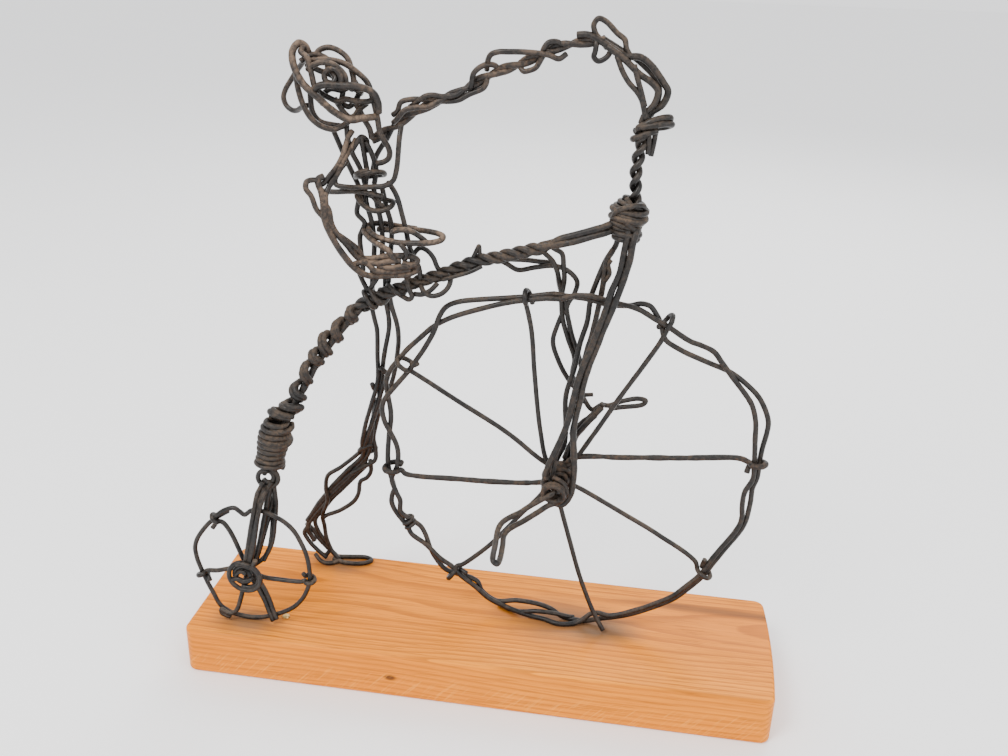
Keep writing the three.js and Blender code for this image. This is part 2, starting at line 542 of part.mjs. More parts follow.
// ---- torso, with the neck, the chest and the hips
bend("torso", [
  [[-71, 6.6, 256], [-68, 6.6, 249], [-65, 6, 242], [-61, 5, 235.6], [-59, 4, 231]],
  [[-61, 4, 250], [-60.6, 4, 246], [-58, 4, 240], [-56.6, 3.6, 234]],
  [[-56.6, 3.6, 254], [-56, 3.4, 246], [-55, 3.2, 240], [-53.4, 3, 232], [-50.6, 3, 219], [-49, 2.6, 213]],
  [[-55.6, 5, 256], [-53, 5, 247.6], [-51, 4.4, 241], [-49, 3.6, 233], [-46, 3, 219]],
  [[-44, 10, 261], [-48, 9.4, 253.5], [-51.6, 6.6, 246.4], [-53.6, 5, 241]],
  [
    [-60, 2.4, 238.4], [-56, 1.2, 240], [-51.5, 1.4, 241.5], [-48.4, 3, 240.6], [-50, 4.8, 238.6],
    [-56, 5.2, 237.4], [-61, 4, 237],
  ],
  [
    [-39.4, -3.6, 261], [-39.5, -4, 254], [-40.5, -4, 244], [-42.6, -3, 238.8], [-46, -1, 236.6],
    [-52, 0.8, 235.8], [-61, 1, 234.8], [-67, 2, 235.6], [-66.4, 4, 241], [-64.4, 5.2, 245],
  ],
  [[-74, -2, 231.6], [-68, -1, 232], [-60, 0.6, 233.6], [-55, 1.8, 234.6]],
  [
    [-59, 2.4, 233], [-58.6, 1.4, 229.4], [-54, 0.8, 226], [-49, 0.8, 225], [-44.6, 2, 226.4],
    [-46, 3.4, 228.6], [-50, 4, 229],
  ],
  [[-57, 4, 232], [-55.4, 4, 225], [-53.4, 3.6, 217], [-51, 2.6, 211]],
  [[-59.4, 3, 230], [-60, 3, 222], [-58, 3, 216], [-59, 2.6, 210], [-58, 2, 203], [-55, 1, 197]],
  [
    [-49.6, 3.6, 237.4], [-46, 2, 236], [-43.4, 0.8, 234.6], [-41, 0.4, 231], [-39, 0, 224], [-36.6, 0, 213],
    [-35.4, -1.4, 206], [-33, -2.4, 200.6],
  ],
  [[-61, 3, 199], [-58.6, 2.4, 197], [-56, 3.6, 192], [-53, 4.4, 190.6], [-50, 3, 197], [-49.4, 2.4, 206], [-49, 2.4, 214]],
], darkWire, 0.95, CROWDED_SIDES);

// ---- loops that pass round the waist
bend("waist_loops", [
  [
    [-36, 7.6, 216.2], [-44, 9, 217], [-53, 11, 218], [-58, 7, 218], [-61.8, 0, 217], [-57, -7, 216.4],
    [-49, -11, 214], [-43, -11, 211], [-40, -9, 207.6],
  ],
  [
    [-50, -6, 214.6], [-46, -10, 214.4], [-38, -13, 214.4], [-29, -12.6, 215], [-22, -9, 216],
    [-20.6, -4, 217], [-28, 1.4, 217.6], [-33, 4.4, 217], [-38, 8, 216.8],
  ],
  [[-44.6, -10.4, 214.8], [-41, -8, 217], [-37, -8, 218.4], [-32, -10, 217], [-28.4, -12.2, 215.8]],
], darkWire);

// ---- near arm, hand on hip
bend("near_arm", [
  [
    [-60, 0, 256.4], [-62.4, -6, 250], [-64.6, -12, 244], [-68.4, -18, 239.2], [-67.4, -21, 236],
    [-66.6, -22, 231], [-66.2, -22, 226], [-64.4, -21, 219.6], [-60.4, -19, 211], [-56, -15, 204.4],
    [-51, -11.6, 201], [-45, -9.4, 201.4], [-38, -8, 200.6], [-31, -7, 202.4],
  ],
  [
    [-57, -1, 254.4], [-61, -7, 248.4], [-63.6, -13, 242], [-66.6, -19, 237], [-70.6, -22, 240.6],
    [-73.4, -22, 240], [-71.4, -22.6, 235], [-69.2, -22.6, 229], [-66.8, -21.6, 225],
    [-63.8, -20, 219], [-59.6, -17.6, 213.6], [-55.6, -14, 207.4], [-53.6, -11, 204.8],
    [-47, -10, 207.2], [-39.5, -9.4, 208], [-33.6, -8, 207.6], [-31.4, -7.4, 205.4],
    [-36.2, -8, 203.2], [-43, -9.4, 203], [-48.4, -10.4, 203.4],
  ],
], dustyWire, WIRE, CROWDED_SIDES);

// ---- far arm, reaching to the handlebar
bend("far_arm", [
  {
    points: [
      [-47.6, 9.6, 258.4], [-44, 10, 260], [-39, 10, 263], [-34, 10, 266], [-25.5, 10, 270], [-17, 10, 274],
      [-9, 10, 279], [-1, 10, 283], [7, 10, 286], [15, 10, 290], [22, 10, 293], [28, 10, 294.6],
    ],
    radius: THICK_WIRE,
  },
  [
    [-42, 8.4, 266.5], [-41, 8, 269], [-37, 8.4, 270], [-29, 8.4, 269.6], [-21, 8.4, 271.4], [-13, 8.4, 275],
    [-8, 8.6, 278.4],
  ],
  [[-42, 8.4, 266.5], [-41, 8.6, 263.6], [-39, 7, 267], [-30, 8.6, 267.2]],
  [[-13, 9, 275.4], [-11, 8, 281], [-7, 8, 284.6], [-1.4, 8.6, 284]],
  [
    [-6.4, 7.6, 285.6], [-4, 7, 289.6], [2, 7, 291], [12, 7.4, 291], [17.4, 8.4, 291.4], [19, 7, 295],
    [22, 8, 294.6], [24, 9.2, 291.6],
  ],
  [[9, 8.8, 284], [14, 8, 285.4], [16, 8.4, 290]],
], dustyWire, 0.9, CROWDED_SIDES);

// ---- head: loosely wound wire, open at the back
bend("head", [
  {
    points: [
      [-55.6, -3, 263], [-60, -3.6, 262.6], [-66.5, -4, 266], [-73, -4, 271], [-79, -3, 276.6], [-83, -1.6, 282],
      [-84, -0.6, 288], [-82, 0, 290], [-80.6, 0, 288.6],
    ],
    radius: THICK_WIRE,
  },
  [
    [-80, 0, 290], [-78, 0, 286], [-77, -1, 280], [-75, -2.4, 273.6], [-72, -2.8, 268], [-74, 0, 262],
    [-69, 1.6, 258.6], [-63, 2, 261],
  ],
  [
    [-83, -0.2, 283], [-86, 6, 281], [-89, 11, 276], [-92.4, 12, 270], [-92.8, 12, 266], [-90.4, 12, 263],
    [-87, 11, 262.6], [-84, 8, 266], [-81.6, 2, 270],
  ],
  [
    [-83, 0.4, 280], [-82, 0.6, 273], [-80, 1, 267], [-77, 1.4, 262], [-73, 1.6, 259.6], [-68, 2, 258.6],
    [-63, 2, 261], [-57, 1.2, 262.4], [-51, 2, 262],
  ],
  [
    [-76.6, 1.6, 286], [-71, 4, 289], [-67, 4, 288], [-63, 4, 285.5], [-61, 4, 281], [-60, 3.4, 277],
    [-58.6, 3, 270], [-60, 3, 264], [-58.6, 2.8, 262],
  ],
  [
    [-81.6, 1, 284.6], [-78, 2, 285], [-71, 2, 285], [-64, 2, 284], [-58.5, 2, 281], [-54, 2, 277], [-52, 2, 271],
    [-50, 2, 263], [-49, 2, 257], [-46, 2, 252], [-45, 2, 249], [-47, 2, 246], [-50, 2, 244.6],
  ],
  {
    points: [
      [-76.6, -2, 274.4], [-73, -3, 275], [-66, -3, 276], [-59, -2, 276], [-53, -0.4, 275.4], [-50, 0.4, 273], [-49.6, 1, 267.6],
      [-50, 1.6, 262],
    ],
    radius: THICK_WIRE,
  },
  ring([-67.4, -1.6, 279], 3.6, 3.6, 300, 380, 0.8),
  [[-75, -2, 272], [-69, -2, 270.6], [-63, -1, 270], [-57, 1, 269.6], [-52, 1.4, 269]],
  [[-67, -2.6, 268], [-65, 0, 265], [-62, 2, 262.4], [-59, 2.2, 264], [-55, 1.8, 268.6]],
  [[-63.6, 2, 262], [-63.4, 2.4, 257.6]],
], dustyWire, 0.95, CROWDED_SIDES);

// ---- brass brad pressed into the plinth beside the small wheel
const bradProfile = [
  [0, 0], [2, 0], [2.2, 0.5], [1.6, 1.2], [0, 1.5],
].map(([r, z]) => new THREE.Vector2(r, z));
const brad = new THREE.Mesh(new THREE.LatheGeometry(bradProfile, 8), brass);
brad.name = "brass_brad";
brad.rotation.x = Math.PI / 2;
brad.position.set(-95, -20, PLINTH_HEIGHT + GAP);
group.add(brad);

export default group;
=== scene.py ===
"""A penny-farthing and its rider bent from soft iron wire, on a varnished wooden plinth.

Distances are written in millimetres and turned to metres as the meshes are made.
+X runs along the plinth towards the large wheel, +Y to the far side, +Z up.
"""
import math

import bmesh
import bpy
from mathutils import Matrix, Vector, noise


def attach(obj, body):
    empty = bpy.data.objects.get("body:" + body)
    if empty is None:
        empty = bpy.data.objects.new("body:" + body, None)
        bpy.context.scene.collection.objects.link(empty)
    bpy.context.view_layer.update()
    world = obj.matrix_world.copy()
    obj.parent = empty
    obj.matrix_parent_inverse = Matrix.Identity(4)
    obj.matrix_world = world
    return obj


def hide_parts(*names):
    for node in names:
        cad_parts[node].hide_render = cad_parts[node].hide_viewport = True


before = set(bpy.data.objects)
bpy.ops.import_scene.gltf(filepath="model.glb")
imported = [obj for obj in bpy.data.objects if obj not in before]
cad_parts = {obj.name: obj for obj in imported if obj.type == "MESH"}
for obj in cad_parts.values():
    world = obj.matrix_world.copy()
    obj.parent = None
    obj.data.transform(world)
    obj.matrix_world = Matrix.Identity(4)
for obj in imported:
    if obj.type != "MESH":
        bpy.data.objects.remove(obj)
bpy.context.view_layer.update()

# ---------------------------------------------------------------- sizes
MM = 0.001
WIRE = 1.15          # radius of the common wire
FINE_WIRE = 0.85
THICK_WIRE = 1.3
SIDES = 12           # facets round a wire
BEND_STEP = 11.0     # most degrees of bend between two rings
LONGEST_STEP = 2.2   # most millimetres between two rings
KINK = 0.22          # how far a hand-bent wire strays from its line
WOBBLE = 0.035       # how much its thickness varies
PLINTH_TOP = 24.0
RESTING = PLINTH_TOP + WIRE

WHEEL_CENTRE = (37, 3, 109)
SMALL_WHEEL_CENTRE = (-108, -25, 55)
AXLE_X, AXLE_Z = 32.5, 104
SMALL_AXLE_X, SMALL_AXLE_Z = -110, 52
HOOK = 3.1


# ---------------------------------------------------------------- lines of wire
def smooth_line(points, per_span=14):
    """Points along a centripetal Catmull-Rom curve through the given ones."""
    knots = [Vector(p) for p in points]
    if len(knots) == 2:
        return [knots[0].lerp(knots[1], i / per_span) for i in range(per_span + 1)]
    padded = [2 * knots[0] - knots[1], *knots, 2 * knots[-1] - knots[-2]]
    line = []
    for a, b, c, d in zip(padded, padded[1:], padded[2:], padded[3:]):
        t1 = max((b - a).length, 1e-6) ** 0.5
        t2 = t1 + max((c - b).length, 1e-6) ** 0.5
        t3 = t2 + max((d - c).length, 1e-6) ** 0.5
        for i in range(per_span):
            t = t1 + (t2 - t1) * i / per_span
            ab = a.lerp(b, t / t1)
            bc = b.lerp(c, (t - t1) / (t2 - t1))
            cd = c.lerp(d, (t - t2) / (t3 - t2))
            abc = ab.lerp(bc, t / t2)
            bcd = bc.lerp(cd, (t - t1) / (t3 - t1))
            line.append(abc.lerp(bcd, (t - t1) / (t2 - t1)))
    line.append(knots[-1])
    return line


def spaced(line):
    """The same line with its points close in the bends and wider on the straights."""
    places = [line[0]]
    since = 0.0
    for before, here, after in zip(line, line[1:], line[2:]):
        step = here - before
        following = after - here
        if step.length < 1e-6 or following.length < 1e-6:
            continue
        since += step.length / LONGEST_STEP
        since += math.degrees(step.angle(following)) / BEND_STEP
        if since >= 1.0:
            places.append(here)
            since = 0.0
    if (places[-1] - line[-1]).length < 0.35 and len(places) > 1:
        places.pop()
    places.append(line[-1])
    return places


def ring_frames(places, radii):
    """One matrix per ring: turned as little as possible from the one before."""
    matrices = []
    side = None
    for i, place in enumerate(places):
        ahead = places[min(i + 1, len(places) - 1)] - places[max(i - 1, 0)]
        ahead.normalize()
        if side is None:
            side = ahead.orthogonal()
        side = side - ahead * side.dot(ahead)
        side.normalize()
        other = ahead.cross(side)
        turned = Matrix((side, other, ahead)).transposed().to_4x4()
        scaled = Matrix.Diagonal((radii[i] * MM, radii[i] * MM, radii[i] * MM, 1.0))
        matrices.append(Matrix.Translation(place * MM) @ turned @ scaled)
    return matrices


def add_wire(bm, points, radius=WIRE, dust_and_top_light=0.35, rough=0.0, kink=KINK):
    """Sweeps one wire, snipped square at both ends, into the piece being made."""
    places = spaced(smooth_line(points))
    seed = Vector(places[0]) * 0.37
    last = len(places) - 1
    radii = []
    for i, place in enumerate(places):
        ease = min(1.0, min(i, last - i) / 4)
        stray = noise.noise_vector(place * 0.11 + seed) * kink * ease
        low = RESTING - WIRE + radius * 0.98
        if place.z < low + 2:
            stray.z = max(stray.z, low - place.z)
        places[i] = place + stray
        swell = noise.noise(place * 0.4 + seed) * (WOBBLE + rough * 0.12)
        swell += noise.noise(place * 1.7 + seed) * (0.012 + rough * 0.10)
        radii.append(radius * (1 + swell))
    lip = min(0.22, 0.2 * radius)
    along = (places[1] - places[0]).normalized()
    places.insert(1, places[0] + along * lip)
    radii.insert(1, radii[0])
    radii[0] *= 0.8
    along = (places[-1] - places[-2]).normalized()
    places.insert(-1, places[-1] - along * lip)
    radii.append(radii[-1] * 0.8)
    matrices = ring_frames(places, radii)
    tone = bm.verts.layers.float["dust_and_top_light"]
    grain = bm.verts.layers.float["rough"]
    start = bmesh.ops.create_circle(
        bm, cap_ends=True, segments=SIDES, radius=1.0, matrix=matrices[0])
    rim = start["verts"]
    first_cap = cap = rim[0].link_faces[0]
    made = list(rim)
    for before, after in zip(matrices, matrices[1:]):
        grown = bmesh.ops.extrude_face_region(bm, geom=[cap])["geom"]
        if cap is not first_cap:
            bmesh.ops.delete(bm, geom=[cap], context="FACES_ONLY")
        rim = [part for part in grown if isinstance(part, bmesh.types.BMVert)]
        cap = next(part for part in grown if isinstance(part, bmesh.types.BMFace))
        bmesh.ops.transform(bm, matrix=after @ before.inverted(), verts=rim)
        made += rim
    for vert in made:
        vert[tone] = dust_and_top_light
        vert[grain] = rough


def wire_piece(name, wires, nodes, finish):
    """One sub-part: every wire of it swept into one mesh that stands for its CAD nodes."""
    bm = bmesh.new()
    bm.verts.layers.float.new("dust_and_top_light")
    bm.verts.layers.float.new("rough")
    for wire in wires:
        if isinstance(wire, dict):
            add_wire(bm, **wire)
        else:
            add_wire(bm, wire)
    bmesh.ops.recalc_face_normals(bm, faces=bm.faces)
    for face in bm.faces:
        face.smooth = len(face.verts) == 4
    mesh = bpy.data.meshes.new(name)
    bm.to_mesh(mesh)
    bm.free()
    mesh.materials.append(finish)
    piece = bpy.data.objects.new(name, mesh)
    bpy.context.scene.collection.objects.link(piece)
    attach(piece, "root")
    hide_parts(*nodes)
    return piece


# ---------------------------------------------------------------- shapes that repeat
def on_wheel(centre, stations):
    """Stations on a wheel: degrees from +X, radius, shift along Y; none sinks into the plinth."""
    x, y, z = centre
    return [
        (x + r * math.cos(math.radians(a)), y + shift, max(RESTING, z + r * math.sin(math.radians(a))))
        for a, r, shift in stations
    ]


def rim_hook(centre, angle, radius, lean=1, size=HOOK, tail=0.0):
    """A turn of wire round the rim, from the inside over the near side, and its short tail."""
    x, y, z = centre
    out = (math.cos(math.radians(angle)), math.sin(math.radians(angle)))
    along = (-out[1], out[0])
    points = []
    for turn in (0, 60, 120, 180, 240, 300, 360):
        away = -math.cos(math.radians(turn)) * size
        slip = lean * 2.9 * turn / 360
        points.append((
            x + out[0] * (radius + away) + along[0] * slip,
            y - math.sin(math.radians(turn)) * size,
            max(RESTING, z + out[1] * (radius + away) + along[1] * slip),
        ))
    if tail:
        last = points[-1]
        points.append((
            last[0] - out[0] * tail * 0.5 + along[0] * lean * tail,
            last[1] - 1.5,
            max(RESTING, last[2] - out[1] * tail * 0.5 + along[1] * lean * tail),
        ))
    return points


def coil(start, end, radii, turns, start_angle=0, per_turn=12):
    """A helix round a straight axis, its radius running through the given list."""
    start, end = Vector(start), Vector(end)
    axis = end - start
    side = Vector((0, 1, 0)).cross(axis)
    if side.length < 0.1 * axis.length:
        side = Vector((1, 0, 0))
    side.normalize()
    other = axis.normalized().cross(side)
    count = round(turns * per_turn)
    points = []
    for i in range(count + 1):
        part = i / count
        place = part * (len(radii) - 1)
        low = min(len(radii) - 2, int(place))
        radius = radii[low] + (radii[low + 1] - radii[low]) * (place - low)
        angle = math.radians(start_angle) + part * turns * 2 * math.pi
        points.append(start + axis * part + side * radius * math.cos(angle)
                      + other * radius * math.sin(angle))
    return points


def ring(centre, width, height, start=0, sweep=360, slip=0.0):
    """A ring or oval of wire in the plane of the wheels, its ends apart in depth."""
    x, y, z = centre
    count = max(6, round(abs(sweep) / 24))
    return [
        (x + width * math.cos(math.radians(start + sweep * i / count)),
         y + slip * i / count,
         z + height * math.sin(math.radians(start + sweep * i / count)))
        for i in range(count + 1)
    ]


def laid_up(points, strands, spread, turns, start_angle=0):
    """The strands of a twisted length, each winding round the same line."""
    line = smooth_line(points, 10)
    lengths = [0.0]
    for before, here in zip(line, line[1:]):
        lengths.append(lengths[-1] + (here - before).length)
    sides = []
    side = Vector((0, 1, 0))
    for i, place in enumerate(line):
        ahead = (line[min(i + 1, len(line) - 1)] - line[max(i - 1, 0)]).normalized()
        side = (side - ahead * side.dot(ahead)).normalized()
        sides.append((side.copy(), ahead.cross(side)))
    result = []
    for strand in range(strands):
        path = []
        for place, along, (one, two) in zip(line, lengths, sides):
            angle = math.radians(start_angle + 360 * strand / strands)
            angle += 2 * math.pi * turns * along / lengths[-1]
            path.append(place + one * spread * math.cos(angle) + two * spread * math.sin(angle))
        result.append(path)
    return result


def beside(points, shift):
    """A second wire lying along the first, moved by the given amount."""
    return [(x + shift[0], y + shift[1], z + shift[2]) for x, y, z in points]


# ---------------------------------------------------------------- finishes
def new_finish(name):
    finish = bpy.data.materials.new(name)
    finish.use_nodes = True
    nodes = finish.node_tree.nodes
    nodes.clear()
    surface = nodes.new("ShaderNodeBsdfPrincipled")
    output = nodes.new("ShaderNodeOutputMaterial")
    finish.node_tree.links.new(surface.outputs["BSDF"], output.inputs["Surface"])
    return finish, surface


class Net:
    """Short calls for joining the nodes of one finish."""

    def __init__(self, finish):
        self.nodes = finish.node_tree.nodes
        self.links = finish.node_tree.links

    def add(self, kind, inputs=None, **settings):
        node = self.nodes.new(kind)
        for key, value in settings.items():
            setattr(node, key, value)
        for key, value in (inputs or {}).items():
            self.put(node.inputs[key], value)
        return node

    def put(self, socket, value):
        if isinstance(value, bpy.types.NodeSocket):
            self.links.new(value, socket)
        else:
            socket.default_value = value

    def maths(self, operation, a, b=0.0, clamp=False):
        node = self.add("ShaderNodeMath", operation=operation, use_clamp=clamp)
        self.put(node.inputs[0], a)
        self.put(node.inputs[1], b)
        return node.outputs[0]

    def noise(self, where, scale, detail=3.0, roughness=0.55):
        node = self.add("ShaderNodeTexNoise")
        self.put(node.inputs["Vector"], where)
        node.inputs["Scale"].default_value = scale
        node.inputs["Detail"].default_value = detail
        node.inputs["Roughness"].default_value = roughness
        return node.outputs["Fac"]

    def step(self, value, low, high, out_low=0.0, out_high=1.0):
        node = self.add("ShaderNodeMapRange", interpolation_type="SMOOTHSTEP")
        self.put(node.inputs["Value"], value)
        node.inputs["From Min"].default_value = low
        node.inputs["From Max"].default_value = high
        node.inputs["To Min"].default_value = out_low
        node.inputs["To Max"].default_value = out_high
        return node.outputs["Result"]

    def blend(self, amount, one, two, kind="MIX"):
        node = self.add("ShaderNodeMix", data_type="RGBA", blend_type=kind)
        self.put(node.inputs["Factor"], amount)
        self.put(node.inputs["A"], one if isinstance(one, bpy.types.NodeSocket) else (*one, 1.0))
        self.put(node.inputs["B"], two if isinstance(two, bpy.types.NodeSocket) else (*two, 1.0))
        return node.outputs["Result"]

    def ramp(self, value, stops):
        node = self.add("ShaderNodeValToRGB")
        self.put(node.inputs["Fac"], value)
        ramp = node.color_ramp
        while len(ramp.elements) < len(stops):
            ramp.elements.new(0.5)
        for element, (place, color) in zip(ramp.elements, stops):
            element.position = place
            element.color = (*color, 1.0)
        return node.outputs["Color"]

    def place(self, scale=(1, 1, 1), rotation=(0, 0, 0), shift=(0, 0, 0)):
        where = self.add("ShaderNodeTexCoord").outputs["Object"]
        node = self.add("ShaderNodeMapping")
        self.put(node.inputs["Vector"], where)
        node.inputs["Scale"].default_value = scale
        node.inputs["Rotation"].default_value = rotation
        node.inputs["Location"].default_value = shift
        return node.outputs["Vector"]


def wire_finish(name, steel, bloom_and_top_light_tint, rust, bloom_and_top_light_share, rust_share, grit):
    """Annealed wire: a dark skin, a tan bloom that is partly dust and partly painted top light, laid on more where the
    wire faces up so tops read lighter and undersides darker, brown specks and fine pits.
    """
    finish, surface = new_finish(name)
    net = Net(finish)
    where = net.place()
    dust_and_top_light = net.add("ShaderNodeAttribute", attribute_name="dust_and_top_light").outputs["Fac"]
    rough = net.add("ShaderNodeAttribute", attribute_name="rough").outputs["Fac"]
    broad = net.noise(where, 60, 4, 0.6)
    fine = net.noise(where, 520, 4, 0.65)
    specks = net.noise(where, 1500, 3, 0.6)
    facing = net.add("ShaderNodeSeparateXYZ",
                     {"Vector": net.add("ShaderNodeNewGeometry").outputs["Normal"]})
    # Painted top light: the tan cover is laid on more where the wire faces up, so tops read lighter and undersides
    # darker.
    up = net.step(facing.outputs["Z"], -0.35, 0.9)
    cover = net.maths("MULTIPLY", up, dust_and_top_light)
    # The part added here, on every face alike, is the real dust.
    cover = net.maths("ADD", cover, net.maths("MULTIPLY", dust_and_top_light, 0.22))
    cover = net.maths("MULTIPLY", cover, net.step(broad, 0.36, 0.62, 0.12, 1.35))
    cover = net.maths("MULTIPLY", cover, net.step(fine, 0.36, 0.6, 0.35, 1.25))
    cover = net.maths("MULTIPLY", cover, bloom_and_top_light_share, clamp=True)
    brown = net.step(net.maths("ADD", fine, net.maths("MULTIPLY", broad, 0.5)), 0.74, 0.98)
    brown = net.maths("MULTIPLY", brown,
        net.maths("ADD", net.maths("MULTIPLY", rough, 0.8), rust_share),
                      clamp=True)
    color = net.blend(net.step(fine, 0.35, 0.7), steel, tuple(c * 1.9 + 0.006 for c in steel))
    color = net.blend(brown, color, rust)
    color = net.blend(cover, color, bloom_and_top_light_tint)
    net.put(surface.inputs["Base Color"], color)
    surface.inputs["Metallic"].default_value = 0.0
    surface.inputs["Specular IOR Level"].default_value = 0.27
    shine = net.step(net.maths("ADD", fine, cover), 0.3, 1.2, 0.30, 0.72)
    net.put(surface.inputs["Roughness"], net.maths("ADD", shine, net.maths("MULTIPLY", rough, 0.12)))
    height = net.maths("ADD", net.maths("MULTIPLY", fine, 0.6), net.maths("MULTIPLY", specks, 0.4))
    depth = net.maths("ADD", grit, net.maths("MULTIPLY", rough, 0.5))
    bump = net.add("ShaderNodeBump")
    net.put(bump.inputs["Height"], height)
    net.put(bump.inputs["Strength"], depth)
    bump.inputs["Distance"].default_value = 0.0004
    net.put(surface.inputs["Normal"], bump.outputs["Normal"])
    return finish


dark_wire = wire_finish("dark_annealed_wire", (0.0036, 0.0032, 0.0031), (0.098, 0.068, 0.046),
                        (0.030, 0.018, 0.011), 0.62, 0.25, 0.22)
rusty_wire = wire_finish("rough_scaly_wire", (0.0050, 0.0040, 0.0034), (0.090, 0.060, 0.040),
                         (0.042, 0.024, 0.014), 0.62, 0.5, 0.7)
dusty_and_top_lit_wire = wire_finish("worn_tan_and_top_lit_wire", (0.0042, 0.0036, 0.0034), (0.150, 0.102, 0.070),
                         (0.040, 0.020, 0.011), 0.75, 0.25, 0.22)

# ---------------------------------------------------------------- large wheel
RIM_OUTER = [
    (97, 84.1, 0.9), (107, 84.5, 1.0), (113, 86.4, 1.0), (119, 89.2, 1.0), (125, 93.0, 0.8),
    (128, 93.8, 0.3),
    (131, 92.4, -0.8), (136, 88.3, -1.0), (141, 86.4, -1.0), (149, 85.7, -1.0), (156, 87.4, -1.0),
    (163, 90.4, -0.9), (166.5, 90.0, -0.8), (170, 87.8, -0.8), (174, 83.5, -0.9), (178, 80.7, -1.0),
    (185, 80.9, -1.0), (190, 84.9, -0.8), (195, 84.2, -1.0), (198, 83.6, -1.0), (202, 85.6, -0.9),
    (206.5, 82.5, 0.0), (210, 80.6, 1.0), (213, 80.9, 1.0), (218, 83.1, 0.9), (222, 84.7, 1.0),
    (228, 85.6, 1.0), (231, 83.6, 0.9), (236, 80.2, 1.0), (239, 80.1, 1.0), (242, 83.2, 0.9),
    (248, 84.6, 0.9), (254, 80.2, 1.0), (261, 78.3, 1.0), (267, 79.9, 1.0), (271, 83.2, 0.8),
    (277, 84.7, 0.0), (284, 84.2, 0.6), (292, 84.3, 0.6), (301, 84.4, 0.5), (310, 84.8, 0.6),
    (317, 84.0, 0.6), (323, 83.6, 0.6), (329, 82.5, 0.6), (335, 82.5, 0.6), (342, 83.9, 0.6),
    (347, 84.5, 0.6), (351, 84.1, 0.6), (355, 83.8, 0.8), (359, 83.4, 0.8), (363, 84.9, 0.8),
    (369, 86.0, 0.9),
    (372, 87.1, 1.0), (377, 90.2, 1.0), (381, 92.1, 1.0), (388, 91.7, 1.0), (394, 89.0, 1.0),
    (399, 86.1, 0.8), (406, 80.7, 1.0), (414, 77.1, 1.0), (420, 76.8, 1.0), (424, 81.7, 0.9),
    (427, 84.8, 0.9), (429.5, 86.7, 0.9), (432, 86.1, 0.9), (435, 83.4, 0.9), (441, 81.6, 0.8),
    (447, 82.2, 0.8), (453, 82.9, 0.8), (457.3, 84.1, 0.9),
]
RIM_INNER = [
    (95, 82.2, -0.9), (100, 82.8, -0.9), (107, 83.4, -0.8), (114, 84.7, -1.0), (123, 86.8, -1.0),
    (129, 88.8, -0.6), (134, 90.0, 0.7), (140, 90.7, 1.0), (146, 91.9, 1.0), (150, 92.4, 1.0),
    (154, 93.3, 1.0), (158, 92.6, 1.0), (163, 88.6, 0.9), (167, 86.2, 0.9), (170, 85.3, 0.9),
    (176, 85.4, 1.0), (185, 85.9, 1.0), (189, 85.6, 0.9), (194, 85.3, 0.8), (196, 87.2, 0.9),
    (198.5, 88.9, 1.0), (201, 89.0, 1.0), (204, 88.3, 1.0), (208, 86.2, -0.4), (211, 86.1, -0.8),
    (216, 83.2, -0.9), (223, 81.9, -1.0), (228, 80.8, -1.0), (233, 81.6, -1.0), (239, 82.0, -1.0),
    (246, 84.2, -0.9), (253, 84.5, -1.0), (260, 84.7, -1.3), (265, 85.0, -2.2), (269.5, 84.6, -4.8),
    (273, 84.0, -4.2), (277, 83.3, -2.4), (281, 80.1, -1.0), (283.5, 79.7, -1.0), (287, 82.0, -0.8),
    (292, 82.3, -0.6), (301, 82.2, -0.6), (310, 82.7, -0.6), (317, 81.9, -0.6), (323, 81.6, -0.6),
    (329, 80.4, -0.6), (335, 80.4, -0.6), (342, 81.8, -0.6), (346, 82.4, -0.6), (349, 81.9, -0.7),
    (353, 80.5, -0.8), (358, 80.3, -0.8), (363, 82.9, -0.8), (369, 83.4, -1.0), (376, 84.7, -1.0),
    (382, 86.8, -1.0), (387, 87.7, -1.0), (391, 87.2, -1.0), (398, 86.1, -0.8), (403, 86.3, -1.0),
    (407, 86.9, -1.0), (411, 85.0, -1.0), (414, 83.3, -1.0), (422, 82.9, -1.0), (426, 82.9, -0.8),
    (432, 84.1, -0.8),
    (441, 83.6, -0.8), (447, 84.3, -0.8), (452, 83.6, -0.8), (455.3, 82.2, -0.9),
]
wheel_y = WHEEL_CENTRE[1]


def wheel_hook(angle, radius, lean=1, size=HOOK, tail=0.0):
    return rim_hook(WHEEL_CENTRE, angle, radius, lean, size, tail)


def rim_band(angle, radius, turns, size, lean=1):
    """A short length of wire bound round both strands of the rim."""
    x, y, z = WHEEL_CENTRE
    points = []
    count = int(turns * 8)
    for i in range(count + 1):
        turn = 2 * math.pi * i / 8
        here = math.radians(angle + lean * 1.55 * i / 8)
        reach = radius + size * math.cos(turn)
        points.append((x + reach * math.cos(here), y + size * 1.05 * math.sin(turn),
                       max(RESTING, z + reach * math.sin(here))))
    return points


rim_wires = [
    dict(points=on_wheel(WHEEL_CENTRE, RIM_OUTER), radius=1.22, dust_and_top_light=0.5),
    dict(points=on_wheel(WHEEL_CENTRE, RIM_INNER), radius=1.22, dust_and_top_light=0.45, rough=0.35),
    dict(points=rim_band(205, 84.4, 2.4, 2.7), radius=FINE_WIRE, dust_and_top_light=0.55),
    dict(points=[(6, 9, RESTING), (12, 5.4, RESTING + 0.2), (18, 2.4, RESTING + 1.6),
                 (26, 1.6, RESTING + 3.4),
                 (34, 1.6, RESTING + 3.6), (41, 3.2, RESTING + 1.4), (44, 5, RESTING + 0.2)], dust_and_top_light=0.5),
]
wire_piece("rim_of_large_wheel", rim_wires, ["large_wheel_rim"], dark_wire)

